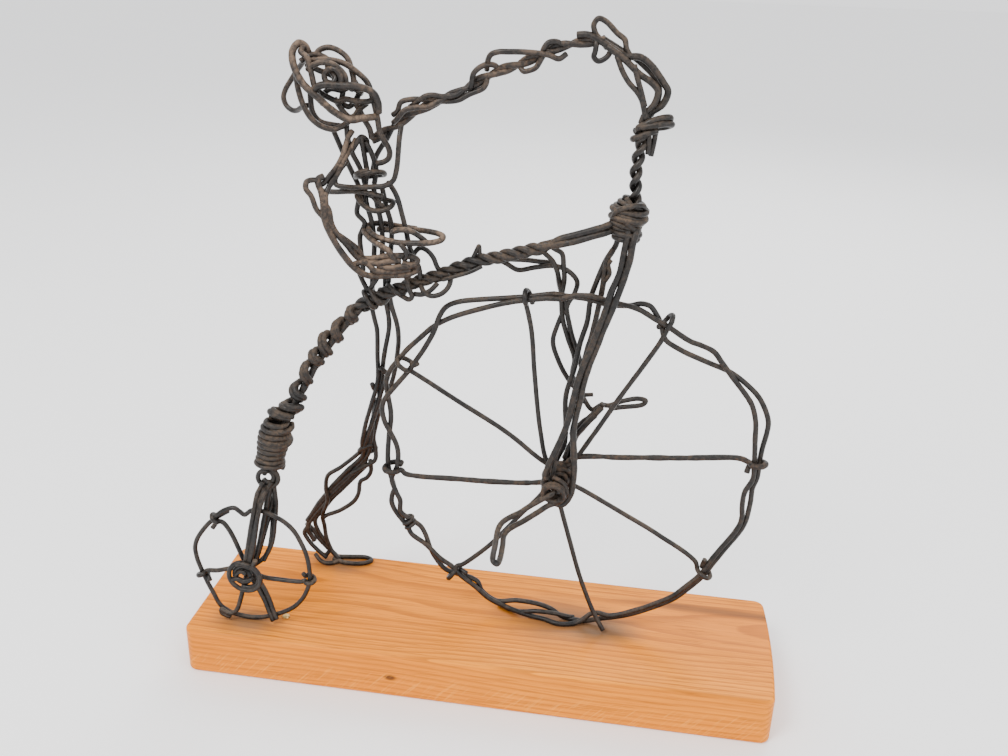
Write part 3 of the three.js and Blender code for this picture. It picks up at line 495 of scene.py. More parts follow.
hub_wires = [
    dict(points=coil((AXLE_X, -2.2, AXLE_Z), (AXLE_X, 8.4, AXLE_Z), [3.2, 4.2, 3.8, 4.4, 3.4], 4.4, 30),
         radius=1.3, dust_and_top_light=0.4, rough=0.8),
    dict(points=coil((AXLE_X + 0.6, 0.4, AXLE_Z - 0.4), (AXLE_X - 0.4, 5.6, AXLE_Z + 0.3),
         [5.6, 6.6, 6.0], 2.6, 200),
         radius=1.3, dust_and_top_light=0.45, rough=0.9),
    dict(points=coil((AXLE_X - 0.6, -7.2, AXLE_Z - 1.4), (AXLE_X - 1.0, -10.6, AXLE_Z - 2.4),
         [4.0, 4.8, 4.2], 2.3, 70),
         radius=1.25, dust_and_top_light=0.55, rough=0.6),
    dict(points=[(28, -6.6, 108), (26.4, -3, 103), (29, -1.4, 98), (34, -4.4, 97), (37.6, -7, 101),
                 (36, -7.4, 106),
                 (31, -6.8, 109)], radius=1.2, dust_and_top_light=0.5, rough=0.6),
]
wire_piece("hub_of_large_wheel", hub_wires, ["large_wheel_hub"], rusty_wire)


def hub_turn(angle, depth, sweep=250, reach=5.0, shift=1.6):
    """The inner end of a spoke, laid round the axle before it leaves for the rim."""
    count = max(3, round(abs(sweep) / 40))
    return [
        (AXLE_X + reach * math.cos(math.radians(angle - sweep + sweep * i / count)),
         depth + shift * (1 - i / count),
         AXLE_Z + reach * math.sin(math.radians(angle - sweep + sweep * i / count)))
        for i in range(count + 1)
    ]


SPOKES = [
    dict(points=[*hub_turn(96, wheel_y), (27.6, 3, 110.6), (23.4, 3, 126), (20, 3, 150), (17, 3, 176),
                 *wheel_hook(106.2, 84.2, -1)], dust_and_top_light=0.4),
    dict(points=[*hub_turn(120, wheel_y + 1.5), (25, 3, 111.4), (8, 3, 124.2), (-14, 3, 137.2),
                 (-36.4, 3, 150.4), *wheel_hook(150.6, 89.2, -1, 3.7, tail=3)], dust_and_top_light=0.45),
    dict(points=[*hub_turn(205, wheel_y - 1, 200), (24, 3, 100), (8, 3, 98.2), (-14, 3, 97.4),
                 (-40, 3, 97.4),
                 *wheel_hook(187, 83.6, -1, 4.0, tail=2)], radius=THICK_WIRE, dust_and_top_light=0.3, rough=1.0),
    dict(points=[*hub_turn(215, wheel_y + 1, -220), (26.4, 3, 96), (14, 3, 79.4), (1, 3, 62.6),
                 (-12, 3, 50),
                 *wheel_hook(229.4, 83.2, 1, 3.9, tail=3)], dust_and_top_light=0.36),
    dict(points=[*hub_turn(268, wheel_y - 1, -240), (33.6, 2.6, 92), (40, 2.2, 70), (46.4, 1.4, 50),
                 (53.4, -0.6, 34), (59, -3.4, 25.6)], dust_and_top_light=0.3, rough=0.2),
    dict(points=[*hub_turn(318, wheel_y, -240), (40, 3, 100.2), (60, 3, 90), (80, 3, 79), (99, 3, 66.4),
                 *wheel_hook(323.4, 82.6, 1, 3.2, tail=4.5)], dust_and_top_light=0.6),
    dict(points=[*hub_turn(52, wheel_y + 1.5, 230), (39, 3, 114.4), (62, 3, 117.2), (88, 3, 119.8),
                 (113, 3, 122.4),
                 *wheel_hook(8.6, 84.6, -1, 3.8, tail=2)], radius=THICK_WIRE, dust_and_top_light=0.3, rough=1.0),
    dict(points=[*hub_turn(60, wheel_y, 240), (38.6, 3, 112), (48, 3, 128.4), (58, 3, 147),
                 (73, 3, 174),
                 *wheel_hook(61.6, 84.6, 1, 3.3, tail=1.5)], dust_and_top_light=0.36, rough=0.3),
]
for number, spoke in enumerate(SPOKES, 1):
    slot = "rusty_wire" if spoke.get("rough", 0) >= 1 else "dark_wire"
    finish = rusty_wire if slot == "rusty_wire" else dark_wire
    spoke["kink"] = 0.09
    wire_piece(f"spoke_{number}_of_large_wheel", [spoke], [f"large_wheel_spoke_{number}"], finish)

# ---------------------------------------------------------------- axle, cranks and near pedal
crank_wires = [
    dict(points=[
        (50, 12, 137), (45, 12, 130), (42, 12, 125.6), (39, 12, 121), (37.4, 12, 113),
        (34, 11, 106.4), (AXLE_X, 7, AXLE_Z),
        (AXLE_X, 0, AXLE_Z), (AXLE_X, -6, AXLE_Z), (31.4, -9.4, 102), (26, -9.6, 98), (21, -9.6, 94),
        (17, -9.6, 90.4), (12, -9.8, 87), (9, -10.6, 84.6), (7.6, -14, 83), (8, -24, 81),
        (8.2, -32, 80.4),
        (9.0, -35.4, 79.6), (10.6, -35.6, 78.6), (11.2, -32, 78.2), (11.0, -22, 78.8),
        (10.4, -13, 79.4),
        (12, -9.6, 80.6), (19, -9.2, 86), (24.6, -9, 90.6), (29.5, -9, 95), (35, -8.6, 98),
        (37.6, -6.4, 101),
    ], dust_and_top_light=0.6, rough=0.2, radius=1.35),
    dict(points=[(36.6, 13, 121), (41, 13.6, 127), (45, 13.6, 131), (49, 13.4, 136),
                 (50.4, 13, 138.6)],
         radius=1.35, dust_and_top_light=0.35, rough=0.7),
    dict(points=[(38.6, 10.2, 122), (43, 10.6, 128), (47.4, 10.8, 133.4)], radius=1.3, dust_and_top_light=0.3, rough=0.6),
    dict(points=[(34.4, 10, 110), (37, 10.6, 118), (42.6, 12, 127.4), (47.6, 12.6, 134.6)], radius=1.3, dust_and_top_light=0.3, rough=0.7),
]
wire_piece("axle_cranks_and_pedal", crank_wires, ["axle_and_cranks"], dark_wire)

# ---------------------------------------------------------------- steering head and fork
knot = [
    dict(points=coil((53.6, 3, 223.4),
        (57.2, 3, 235.4), [4.2, 6.0, 6.6, 6.8, 5.6, 4.0], 6, 200), dust_and_top_light=0.75),
    dict(points=coil((55.0, 3, 227), (56.0, 3, 232.4), [7.0, 7.5, 7.0], 1.7, 120), dust_and_top_light=0.85,
         rough=0.6, radius=1.25),
    dict(points=coil((51.8, 3, 226), (58.6, 3, 231), [6.0, 7.1, 6.4], 1.6, 20), dust_and_top_light=0.7, rough=0.6,
         radius=1.25),
    dict(points=coil((54.6, 2.4, 218.6), (55.4, 2.4, 223.2), [4.4, 5.2, 5.4], 2.2, 60), dust_and_top_light=0.55,
         rough=0.5,
         radius=1.25),
    dict(points=[(50.2, 6, 224), (49, 1, 227), (51, -3.4, 232), (56, -4.8, 234.4),
                 (60.6, -2, 234.6), (62.4, 2, 232)],
         dust_and_top_light=0.85),
]
fork_wires = [
    dict(points=[
        (56, -0.4, 227), (55.8, -2.8, 221), (55, -3.2, 216), (54, -3.4, 207), (51, -4, 198),
        (49, -4.4, 189),
        (46.6, -5, 181), (43.7, -5, 171), (40, -5, 159), (37.5, -5, 145), (35, -5, 132),
        (31.5, -5, 122),
        (28.5, -5, 114), (27.2, -5, 106), (27.4, -5, 100), (30.6, -5, 95.4), (35.6, -5, 94),
        (39.0, -5, 99), (40.2, -4.6, 109.5), (39.5, -4, 122), (38.6, -4, 132), (40.5, -4, 145),
        (42.7, -4, 159), (46, -4, 171), (49, -4, 181), (52.5, -4, 192), (55, -4, 201), (57.3, -4, 211),
        (58.3, -3.4, 219), (59.6, -1.2, 225),
    ], dust_and_top_light=0.42, rough=0.5, radius=1.5),
    dict(points=[
        (52, 6.6, 226), (51.5, 8.6, 219), (51, 9, 214.5), (47, 9, 207), (44, 9, 198), (42, 9, 191),
        (41, 9, 180),
        (38.4, 9, 168), (36.5, 9, 156), (33.5, 9, 143), (34, 9.4, 130), (34, 11, 118), (31, 11.6, 109),
        (29, 11, 103), (33, 10.4, 99), (37, 10.4, 103),
    ], dust_and_top_light=0.28, radius=1.25),
    dict(points=[
        (50, 6.4, 213), (48, 7.0, 208.6), (47.4, 7.2, 203), (46.6, 7.2, 195), (45.4, 7.2, 185.5),
        (43.5, 7.2, 174), (41, 7.2, 162),
        (38.6, 7.2, 147), (38.2, 7.6, 132), (38.6, 8.4, 122), (38, 9.6, 112), (36.6, 10.2, 106),
    ], dust_and_top_light=0.4, rough=0.9, radius=1.3),
    dict(points=[(47.6, 6.4, 199), (49.4, 5.6, 202.6), (48.6, 6.0, 206.6),
                 (49.6, 6.2, 208.6)], radius=0.95, dust_and_top_light=0.5, rough=0.9),
    dict(points=[(33, -4.6, 127), (31.4, -3.2, 118), (30.6, -3.2, 110),
                 (29.6, -3.4, 103)], dust_and_top_light=0.3, rough=0.5),
]
wire_piece("fork_and_steering_head", knot + fork_wires, ["fork"], dark_wire)

# ---------------------------------------------------------------- handlebar
STEM = [(57.4, 3.4, 230), (57.6, 3.6, 238), (57.0, 3.6, 246), (57.6, 3.6, 254), (58.8, 3.6, 261)]
stem_strands = laid_up(STEM, 2, 1.45, 2.7, 100)
bar_wires = [
    dict(points=[*stem_strands[0], (56.6, 2.4, 264.6), (59.4, 1.8, 266.4), (64, 2.2, 268.6),
                 (68.4, 3.6, 269.4),
                 (68.6, 6.4, 267.8), (63, 7, 266), (57, 5.8, 264.4)], dust_and_top_light=0.45, radius=1.35),
    dict(points=[*stem_strands[1], (61, 4, 264), (60, 5, 267.4), (59.6, 5, 270)], dust_and_top_light=0.4,
                 radius=1.35),
    dict(points=[(64.4, 2.6, 264.2), (60, 1.6, 262.6), (55.4, 2.4, 260.4), (55, 4.8, 260),
                 (59, 7, 261.4)],
         dust_and_top_light=0.4, radius=1.3),
    dict(points=[(56.4, 2, 264.8), (62, 1.2, 266), (67.4, 2.4, 267), (69.6, 5, 266.4),
                 (66.6, 7.6, 264.8), (59, 7.4, 263.6),
                 (55, 4.8, 263)], dust_and_top_light=0.5, radius=1.35),
    dict(points=[(60.6, 3, 264), (61.2, 3.2, 259), (61.2, 3.4, 254.4)], dust_and_top_light=0.35),
    dict(points=[(63.6, 4.4, 264), (63.2, 4.2, 259), (62.4, 4.0, 253.6)], dust_and_top_light=0.35),
    dict(points=[
        (29.6, 9, 298.2), (34, 8.6, 298.6), (38, 8, 297), (44, 7, 294), (50, 6, 291.5),
        (55, 6, 291.4), (60, 6, 288),
        (65, 6, 282), (67, 6, 279), (65.4, 6, 274), (60.6, 5.6, 270), (59.4, 5, 266),
    ], dust_and_top_light=0.45, radius=1.45),
    dict(points=[
        (42, 7.6, 293.8), (39.6, 8.8, 296.4), (36.8, 9, 299.4), (36.0, 9, 302.4), (37.6, 9, 304.6),
        (41, 9, 303.5), (45.6, 8.6, 299.6),
        (48.6, 7.6, 297.4), (49.6, 6.8, 294), (51.6, 6.4, 291),
    ], dust_and_top_light=0.85),
    dict(points=[
        (42, 5.4, 294.8), (46, 4.6, 292.4), (49.7, 4.4, 290), (55.5, 4.2, 285), (60.5, 4.2, 282),
        (63, 4.2, 279), (62, 4.2, 274),
        (58.6, 4.2, 269.6), (57.4, 4.2, 266),
    ], dust_and_top_light=0.5, radius=1.35),
    dict(points=[(46, 4.8, 291.6), (48.5, 3.2, 286.5), (51.5, 3, 282), (55, 3, 278.5),
                 (57, 3, 275.5), (58.4, 3.2, 271),
                 (60, 3.4, 267)], dust_and_top_light=0.5),
    dict(points=[(53, 4, 288.6), (54.6, 3, 284), (56.5, 2.4, 278.5), (58.4, 3, 273)], dust_and_top_light=0.4),
    dict(points=[(40, 9.4, 297.4), (47, 8.6, 293.6), (54, 8, 290), (60.6, 7.6, 284.4),
                 (63.6, 7.4, 279.4), (63, 7, 274),
                 (61, 6.4, 269)], dust_and_top_light=0.35),
]
wire_piece("handlebar_and_stem", bar_wires, ["handlebar"], dark_wire)

# ---------------------------------------------------------------- backbone
LAY = [
    (21.5, 3, 213.2), (11, 3, 210), (1, 3, 207), (-7, 3, 205), (-15, 3, 201.5), (-24, 2.6, 197.4),
    (-33, 2, 194), (-42, 1, 190.2), (-51, 0, 186.4), (-58, -1, 182.4), (-63, -2.2, 178.4),
]
strands = laid_up(LAY, 3, 1.55, 5.4, 40)
backbone_wires = [
    dict(points=[(50.6, 2, 226.4), (47.6, 1.4, 224.8), (40, 2, 221.6), (32, 3, 218.6),
                 (27, 3.2, 216.6), *strands[0][2:]],
         dust_and_top_light=0.7, rough=0.4, radius=1.5),
    dict(points=[(51.4, 3, 223.6), (48.6, 2.4, 222.2), (40, 1.6, 219.0), (32, 2.2, 216.0),
                 (27, 2.2, 214.6), *strands[1][2:]],
         dust_and_top_light=0.6, rough=0.5, radius=1.5),
    dict(points=[(49, 4.6, 224), (38, 4.4, 219.4),
                 (28, 4, 216.2), *strands[2][2:]], dust_and_top_light=0.5, rough=0.6, radius=1.4),
    dict(points=coil((-49.8, 0.4, 187.2), (-56.6, -0.4, 183.6), [3.9, 4.2, 4.2], 2.3, 60), dust_and_top_light=0.5),
    dict(points=coil((-40, 1.4, 191.2),
        (-58, -1, 182.6), [2.9, 3.2, 3.0], 2.2, 150), dust_and_top_light=0.35, rough=0.3),
    dict(points=[(-37.6, -1.6, 197), (-36.4, -2.4, 192), (-34.9, -2.2, 188), (-36.6, -1.4, 186.4),
                 (-39.4, 0, 187.0), (-43, 1.6, 188.2)],
         dust_and_top_light=0.5),
    dict(points=[(-34.4, -1, 189), (-30.4, -1.8, 189.4), (-27, -1.4, 191.4),
                 (-24, 0, 194.6)], dust_and_top_light=0.35),
    dict(points=[(-31.6, -0.6, 193.4), (-29.6, -2, 190.4), (-26.4, -2.4, 189.2), (-22.4, -2, 190.2),
                 (-19.4, -1, 193),
                 (-18.4, 0.6, 196.6), (-20, 2.4, 199.6)], dust_and_top_light=0.4),
    dict(points=[(-38.4, 3.6, 192.4), (-37, 4, 200), (-35, 3.4, 206.4), (-32.4, 3, 208.8),
                 (-29.6, 3, 208), (-26.8, 3, 205),
                 (-25, 3.2, 200.6), (-23, 4, 198)], dust_and_top_light=0.3),
    dict(points=[(-10, 2.8, 204.6), (-8.2, 2.2, 208.4), (-6.8, 2.6, 211.6), (-6.2, 3, 207.4), (-5, 3, 204.4)],
         radius=0.95, dust_and_top_light=0.6),
    dict(points=[(-22, -0.8, 196.4), (-15, -1.0, 198.8), (-10, -0.2, 200.6),
                 (-5, 1.4, 203.2)], dust_and_top_light=0.55, radius=1.0),
]
wire_piece("backbone_bundle", backbone_wires, ["backbone"], dark_wire)

# ---------------------------------------------------------------- spring
# Turns of the open coil: top x, top z, bottom x, bottom z, depth.
TURNS = [
    (-62.2, 183.2, -61.6, 173.4, -3.0), (-68.0, 177.0, -68.2, 164.4, -4.5),
    (-74.0, 171.0, -73.2, 157.6, -6.0),
    (-78.5, 163.4, -76.4, 153.6, -8.0), (-81.4, 158.0, -81.6, 144.4, -10.0),
    (-86.8, 147.6, -84.0, 137.4, -12.6),
    (-91.6, 139.0, -84.6, 133.6, -15.0), (-96.4, 136.4, -87.6, 129.6, -17.0),
]
COIL_DEPTH = 3.3
COIL_INSET = 2.2
open_coil = []
for top_x, top_z, bottom_x, bottom_z, depth in TURNS:
    top_z -= COIL_INSET
    bottom_z += COIL_INSET
    middle_x, middle_z = (top_x + bottom_x) / 2, (top_z + bottom_z) / 2
    open_coil.append((top_x, depth, top_z))
    open_coil.append((middle_x - 0.4, depth - COIL_DEPTH, middle_z + 0.8))
    open_coil.append((bottom_x + 0.9, depth - 0.6, bottom_z))
    open_coil.append((middle_x - 2.0, depth - 1.2 + COIL_DEPTH, middle_z - 4.6))
open_coil.pop()
spring_wires = [
    dict(points=beside(open_coil, (0.75, 0.2, 0.5)), radius=1.45, dust_and_top_light=0.55, rough=0.5),
    dict(points=beside(open_coil, (-0.75, -0.2, -0.5)), radius=1.45, dust_and_top_light=0.5, rough=0.5),
    dict(points=[(-58.6, -1, 180.4), (-66.4, -3.6, 171.2), (-72.6, -6, 162.6), (-77.6, -8, 154.6), (-82.4, -10.6, 145),
                 (-86.6, -13.6, 136.6), (-91, -17, 127)], radius=1.7, dust_and_top_light=0.2, rough=0.6),
]
wire_piece("open_spring", spring_wires, ["spring_open_coil"], dark_wire)
barrel_wires = [
    dict(points=coil((-93.4, -18, 130.6),
        (-98.2, -19.6, 108.8), [3.8, 5.4, 6.1, 6.4, 6.0, 5.5, 5.4, 5.6], 8.6, 10),
         radius=1.3, dust_and_top_light=0.6, rough=0.8),
    dict(points=coil((-97.6, -19.6, 110.4), (-98.0, -19.8, 107.6), [5.8, 6.4, 6.2], 1.4, 40), radius=1.0, dust_and_top_light=0.4),
    dict(points=coil((-91.6, -17.6, 129), (-95.4, -18.4, 118), [4.6, 5.9, 6.6], 1.6, 140), radius=1.25,
         dust_and_top_light=0.5, rough=0.7),
]
wire_piece("spring_barrel_turns", barrel_wires, ["spring_barrel"], dark_wire)

# ---------------------------------------------------------------- rear fork
rear_wires = [
    dict(points=ring((-99.3, -21, 100.8), 4.7, 4.5, 80, 400, 2.2), dust_and_top_light=0.4),
    dict(points=ring((-99.0, -20.4, 101.4), 2.4, 2.6, 200, 330, 1.4), dust_and_top_light=0.3),
    dict(points=[(-101, -21.4, 99.6), (-102.4, -21.6, 96.6), (-103.2, -24.4, 94.2),
                 (-104.4, -28.4, 84.8), (-106.0, -29.2, 76),
                 (-106.7, -29.6, 71.9), (-108.9, -30.0, 61.2), (-109.6, -30, 58)], dust_and_top_light=0.4, rough=0.3),
    dict(points=[(-97.4, -20.6, 99.4), (-98.8, -21, 96.6), (-99.8, -24.4, 94.6),
                 (-101.9, -28.6, 85.1), (-103.2, -29.2, 78), (-104.2, -29.6, 72.2),
                 (-106.5, -30.0, 61.5), (-106.9, -30.2, 58.6)], dust_and_top_light=0.35),
    dict(points=[(-98, -19, 99), (-97.2, -18.6, 93.6), (-98.6, -19.4, 87), (-100.1, -20.2, 81),
                 (-102, -20.6, 73.6), (-104, -20.6, 67.4),
                 (-107, -20.6, 58), (-110, -20.6, 51)], dust_and_top_light=0.3, rough=0.7),
    dict(points=[(-98.8, -18.4, 98), (-98.0, -18, 90), (-98.6, -18.6, 80), (-100, -19.2, 68),
                 (-102, -19.6, 60), (-106, -20, 55),
                 (-109.6, -20.2, 52)], dust_and_top_light=0.25),
    dict(points=[(-100.6, -21, 96), (-101.6, -24.8, 92), (-103.4, -28, 82), (-105.4, -29.4, 70),
                 (-107.6, -30, 59)],
         radius=1.3, dust_and_top_light=0.4, rough=0.6),
    dict(points=[(-98.4, -20, 97), (-99.6, -21.6, 90), (-101.2, -23.4, 80), (-103.4, -25, 69),
                 (-107, -26, 57)],
         radius=1.3, dust_and_top_light=0.3, rough=0.5),
    dict(points=[(-96.8, -19.6, 97), (-96.6, -19.4, 88), (-97.4, -20, 78), (-99.2, -21, 67),
                 (-103.4, -22.6, 57)],
         radius=1.2, dust_and_top_light=0.3, rough=0.4),
    dict(points=[(-103.4, -31.8, 63.2), (-104.4, -31.6, 61), (-106.4, -31.0, 58.4)], dust_and_top_light=0.9),
    dict(points=ring((-109.8, -30.2, 52.6), 7.9, 7.5, 100, 372, -1.6), dust_and_top_light=0.45),
    dict(points=ring((-109.4, -30.6, 52.0), 6.2, 5.4, 250, 300, 1.8), dust_and_top_light=0.3),
    dict(points=ring((-111.0, -30.2, 51.4), 3.4, 3.2, 60, 400, 1.6), dust_and_top_light=0.4),
    dict(points=[(-110, -31, 54.6), (-110, -27, 52.4), (SMALL_AXLE_X, -22, SMALL_AXLE_Z),
                 (SMALL_AXLE_X, -18.6, SMALL_AXLE_Z)], dust_and_top_light=0.3),
    dict(points=[(-116.4, -30.6, 50.2), (-113, -30.8, 50.8), (-110, -30.8, 50),
                 (-106, -30.4, 51.4)], dust_and_top_light=0.5),
]
wire_piece("rear_fork_and_small_hub", rear_wires, ["rear_fork"], dark_wire)

# ---------------------------------------------------------------- small wheel
SMALL_RIM = [
    (110, 30.0, 1.4), (121, 29.3, 0.8), (136, 29.0, 0.0), (154, 29.0, 0.0), (167, 28.9, 0.0),
    (174, 28.2, 0.0), (181, 27.4, 0.0), (188, 26.7, 0.0),
    (195, 26.4, 0.0), (209, 26.8, 0.0), (217, 27.4, 0.0), (224, 28.3, 0.0), (230, 29.8, 0.0),
    (236, 30.9, 0.0), (241, 31.0, 0.0), (246, 31.0, 0.0),
    (255, 30.4, 0.0), (263, 30.0, 0.0), (275, 29.2, 0.0), (286, 28.4, 0.0), (299, 28.1, 0.0),
    (314, 28.4, 0.0), (328, 28.4, 0.0),
    (342, 28.3, 0.0), (354, 28.3, 0.0), (372, 28.2, 0.0), (382, 28.6, 0.0), (391, 29.2, 0.0),
    (400, 30.2, 0.0), (407, 30.9, 0.0), (418, 31.5, 0.0),
    (429, 31.5, 0.0), (438, 31.7, 0.0), (444, 31.2, 0.0), (448, 30.2, 0.0), (454, 27.9, 0.0),
    (458, 29.6, 0.0), (462, 31.6, 0.0),
    (472, 31.5, -0.4), (480, 30.6, -1.0), (486, 30.0, -1.2),
]
wire_piece("rim_of_small_wheel",
    [dict(points=on_wheel(SMALL_WHEEL_CENTRE, SMALL_RIM), radius=1.12, dust_and_top_light=0.3)],
           ["small_wheel_rim"], dark_wire)


def small_hook(angle, radius, lean=1, size=2.3, tail=2.0):
    return rim_hook(SMALL_WHEEL_CENTRE, angle, radius, lean, size, tail)


small_y = SMALL_WHEEL_CENTRE[1]
SMALL_SPOKES = [
    [dict(points=[(-109.4, small_y, 53), (-112, small_y, 57.6), (-116, small_y, 69),
        (-120.6, small_y, 77), *small_hook(122, 29.2, 1)],
          dust_and_top_light=0.45)],
    [dict(points=[(-110, small_y, 53), (-118.4, small_y, 52.4),
        (-126, small_y, 50), *small_hook(194, 26.6, 1)], dust_and_top_light=0.4)],
    [dict(points=[(-111, small_y, 51), (-113, small_y - 0.6, 44), (-115, small_y - 1.2, 36),
        (-117.4, small_y - 2.2, 29.4), (-120.6, small_y - 2.8, 28),
                  (-124.6, small_y - 2.4, 29.6), (-124.4, small_y - 2.4, 27.4),
                  (-120, small_y - 2.6, 26)], dust_and_top_light=0.5)],
    [dict(points=[(-108, small_y, 50), (-104.4, small_y, 45.6), (-101, small_y - 0.6, 38),
        (-98.6, small_y - 1.4, 31), (-96.8, small_y - 2.4, 27.4)], dust_and_top_light=0.4),
     dict(points=[(-109, small_y, 48), (-105.6, small_y - 0.6, 43), (-102.6, small_y - 1, 36),
                  (-100, small_y - 2, 29.6), (-98.6, small_y - 2.6, 26.4)],
          dust_and_top_light=0.35)],
    [dict(points=[(-109, small_y, 52), (-103, small_y, 49.4), (-95, small_y, 49),
        (-84, small_y, 49.2), *small_hook(349, 28.3, 1)],
          dust_and_top_light=0.5)],
]
for number, wires in enumerate(SMALL_SPOKES, 1):
    wire_piece(f"spoke_{number}_of_small_wheel", wires, [f"small_wheel_spoke_{number}"], dark_wire)

# ---------------------------------------------------------------- standing leg
standing_wires = [
    dict(points=[
        (-54.9, 4, 179.5), (-54.4, 6, 174), (-53.8, 8, 167.3), (-54.6, 11, 156.2),
        (-55.6, 13.4, 139.4), (-59.6, 15.6, 126),
        (-63, 17.6, 115), (-65.9, 20, 104), (-67, 22.6, 97), (-69.8, 24.4, 93.6), (-79, 25, 85),
        (-86, 25.6, 79), (-88, 26.6, 71), (-87.4, 27.4, 63), (-91.4, 29.4, 52.6), (-91, 30.6, 46),
        (-90.5, 31, 40), (-88, 31, 31),
        (-84, 30.4, 26.2),
    ], dust_and_top_light=0.38, radius=1.12),
    dict(points=[
        (-46.6, 4, 186), (-46.3, 5, 181.9), (-44, 8, 168), (-45.4, 11, 154.6), (-49.3, 14.4, 137.8),
        (-55, 18.6, 125),
        (-58.6, 21.4, 115), (-61.2, 23.4, 104), (-60.4, 24.4, 97), (-61, 24.6, 91),
        (-67.4, 24.6, 86.4), (-73.6, 25, 81.8),
    ], dust_and_top_light=0.4),
    dict(points=[
        (-48.9, 3, 188), (-48.6, 5, 182.1), (-48.2, 8, 170.2), (-51.1, 11, 156.5),
        (-54.2, 14.6, 140), (-56.7, 17.4, 126),
        (-60.8, 20, 112.8), (-64, 22, 102), (-65, 24, 96), (-66, 25, 90), (-75, 27, 78.5),
        (-84, 28, 68),
        (-91, 29.4, 58), (-97, 30.4, 50), (-101, 31, 43), (-102.4, 31, 40), (-100, 31, 35),
        (-95, 31, 29.4), (-90.6, 31, RESTING + 0.4),
    ], dust_and_top_light=0.34, rough=0.3),
    dict(points=[
        (-63.4, 24.6, 91), (-63.6, 25.6, 84), (-66, 26.6, 79.6), (-70, 28, 76), (-71, 28, 69),
        (-74, 28.4, 63.5), (-81, 29, 57.4),
        (-89.6, 29.8, 52.4), (-92, 30, 50),
    ], dust_and_top_light=0.35),
    dict(points=[(-65, 25.6, 88), (-75, 28, 76), (-84, 29.4, 65.6), (-91, 30.4, 56), (-96, 31, 48),
                 (-95, 31.6, 42), (-92, 32, 36),
                 (-89, 32, 31), (-91, 31.4, 27)], dust_and_top_light=0.3),
    dict(points=[
        (-97, 31, 27.2), (-93, 28, RESTING), (-89, 26.6, RESTING), (-84, 29.6, RESTING),
        (-84.4, 33.4, RESTING),
        (-78, 35.2, RESTING), (-70, 36, RESTING), (-67, 34, RESTING), (-70, 30.6, RESTING),
        (-80, 29, RESTING),
        (-87, 30.6, RESTING + 0.8),
    ], dust_and_top_light=0.8),
    dict(points=[(-57.6, 18, 128), (-60.6, 20.4, 113), (-62.6, 22.4, 102), (-64.6, 24, 94),
                 (-72, 26.4, 84),
                 (-82, 28, 72.4), (-91.6, 29.6, 60), (-99, 30.8, 48.6), (-100, 31, 42), (-97, 31.4,
                 35)],
         radius=1.3, dust_and_top_light=0.4, rough=0.6),
    dict(points=[(-52, 14, 142), (-55.6, 16.4, 130), (-61.4, 19.4, 112), (-65.4, 21.4, 100),
                 (-67.4, 24, 92.6),
                 (-76, 26.4, 82.6), (-86, 28.4, 70), (-94, 29.8, 58), (-100.4, 30.6, 47.4)],
         radius=1.25, dust_and_top_light=0.35, rough=0.5),
    dict(points=[(-101.6, 32.4, 45), (-98.6, 33, 41.4), (-95.4, 33, 36), (-91, 33, 31),
                 (-86, 32.4, 27), (-84, 31, 25.6)],
         radius=1.2, dust_and_top_light=0.45),
    dict(points=[(-61.6, 22.4, 101), (-66.6, 21, 99), (-68.4, 23.4, 95.6), (-64, 26, 94.6),
                 (-60.6, 26, 97.4), (-63, 24, 99.6)], dust_and_top_light=0.5),
    dict(points=[(-53.6, 10.4, 148), (-50.4, 12, 144), (-52.6, 15.6, 138), (-57.4, 15.4, 134),
                 (-58.4, 13.4, 138)], dust_and_top_light=0.3),
]
wire_piece("standing_leg_wires", standing_wires, ["standing_leg"], dark_wire)

# ---------------------------------------------------------------- riding leg
riding_wires = [
    dict(points=[(0, 6.4, 205.6), (3, 8, 205), (10, 9, 205), (18, 10, 204.4), (23, 10, 204.2),
                 (25.6, 10, 202.8), (27.6, 10.4, 195),
                 (29, 11, 190)], dust_and_top_light=0.4),
    dict(points=[
        (1.6, 7, 204.6), (4, 9, 203), (9.6, 9.6, 200.2), (17, 9, 202), (25, 8.3, 203.6),
        (31, 8.3, 202), (35.4, 9, 197),
        (34.5, 10.4, 191), (32, 11.4, 186), (31, 11.6, 181),
    ], dust_and_top_light=0.42),
    dict(points=[(19.5, 5.6, 211.8), (21, 6.6, 209.4), (24.5, 7, 206), (26.6, 7.6, 201.6),
                 (28.2, 9.6, 194.5), (30, 11.6, 187)], dust_and_top_light=0.36),
    dict(points=[(23.6, 5.4, 213), (25.6, 6.6, 211.4), (28.4, 7, 209.6), (29.4, 7.4, 204),
                 (30, 8.4, 198), (29.2, 10, 191)], dust_and_top_light=0.36),
    dict(points=[
        (28.7, 11, 192), (29.5, 12, 180), (32.6, 13, 169), (36, 14, 159), (35.4, 15, 151),
        (38, 15.6, 144.6),
        (41.2, 16.4, 138.6), (45.4, 16.6, 133.4), (49.4, 16.6, 136), (53, 16.6, 136.2), (59, 16.6, 139),
        (66, 16.6, 141), (69.4, 16.6, 140.2), (68.6, 16.6, 138.4), (60, 16.6, 136.2), (53, 16.6, 134.6),
    ], dust_and_top_light=0.5),
    dict(points=[(30.7, 11.4, 188), (32, 11.8, 180), (34, 12.4, 172), (37.4, 13.4, 162),
                 (39.6, 15, 152), (39.4, 15.8, 143), (41.6, 15, 137)], dust_and_top_light=0.32),
    dict(points=[(30.4, 12, 183), (27.4, 13, 174), (26, 13.4, 166.6), (29, 14, 157),
                 (34, 14.8, 148), (38.6, 15.4, 142.2)], dust_and_top_light=0.3),
    dict(points=[(38.6, 17, 142), (41, 17.4, 140.2), (45.4, 17.4, 140.6)], dust_and_top_light=0.4, radius=1.0),
]
wire_piece("riding_leg_wires", riding_wires, ["riding_leg"], dark_wire)

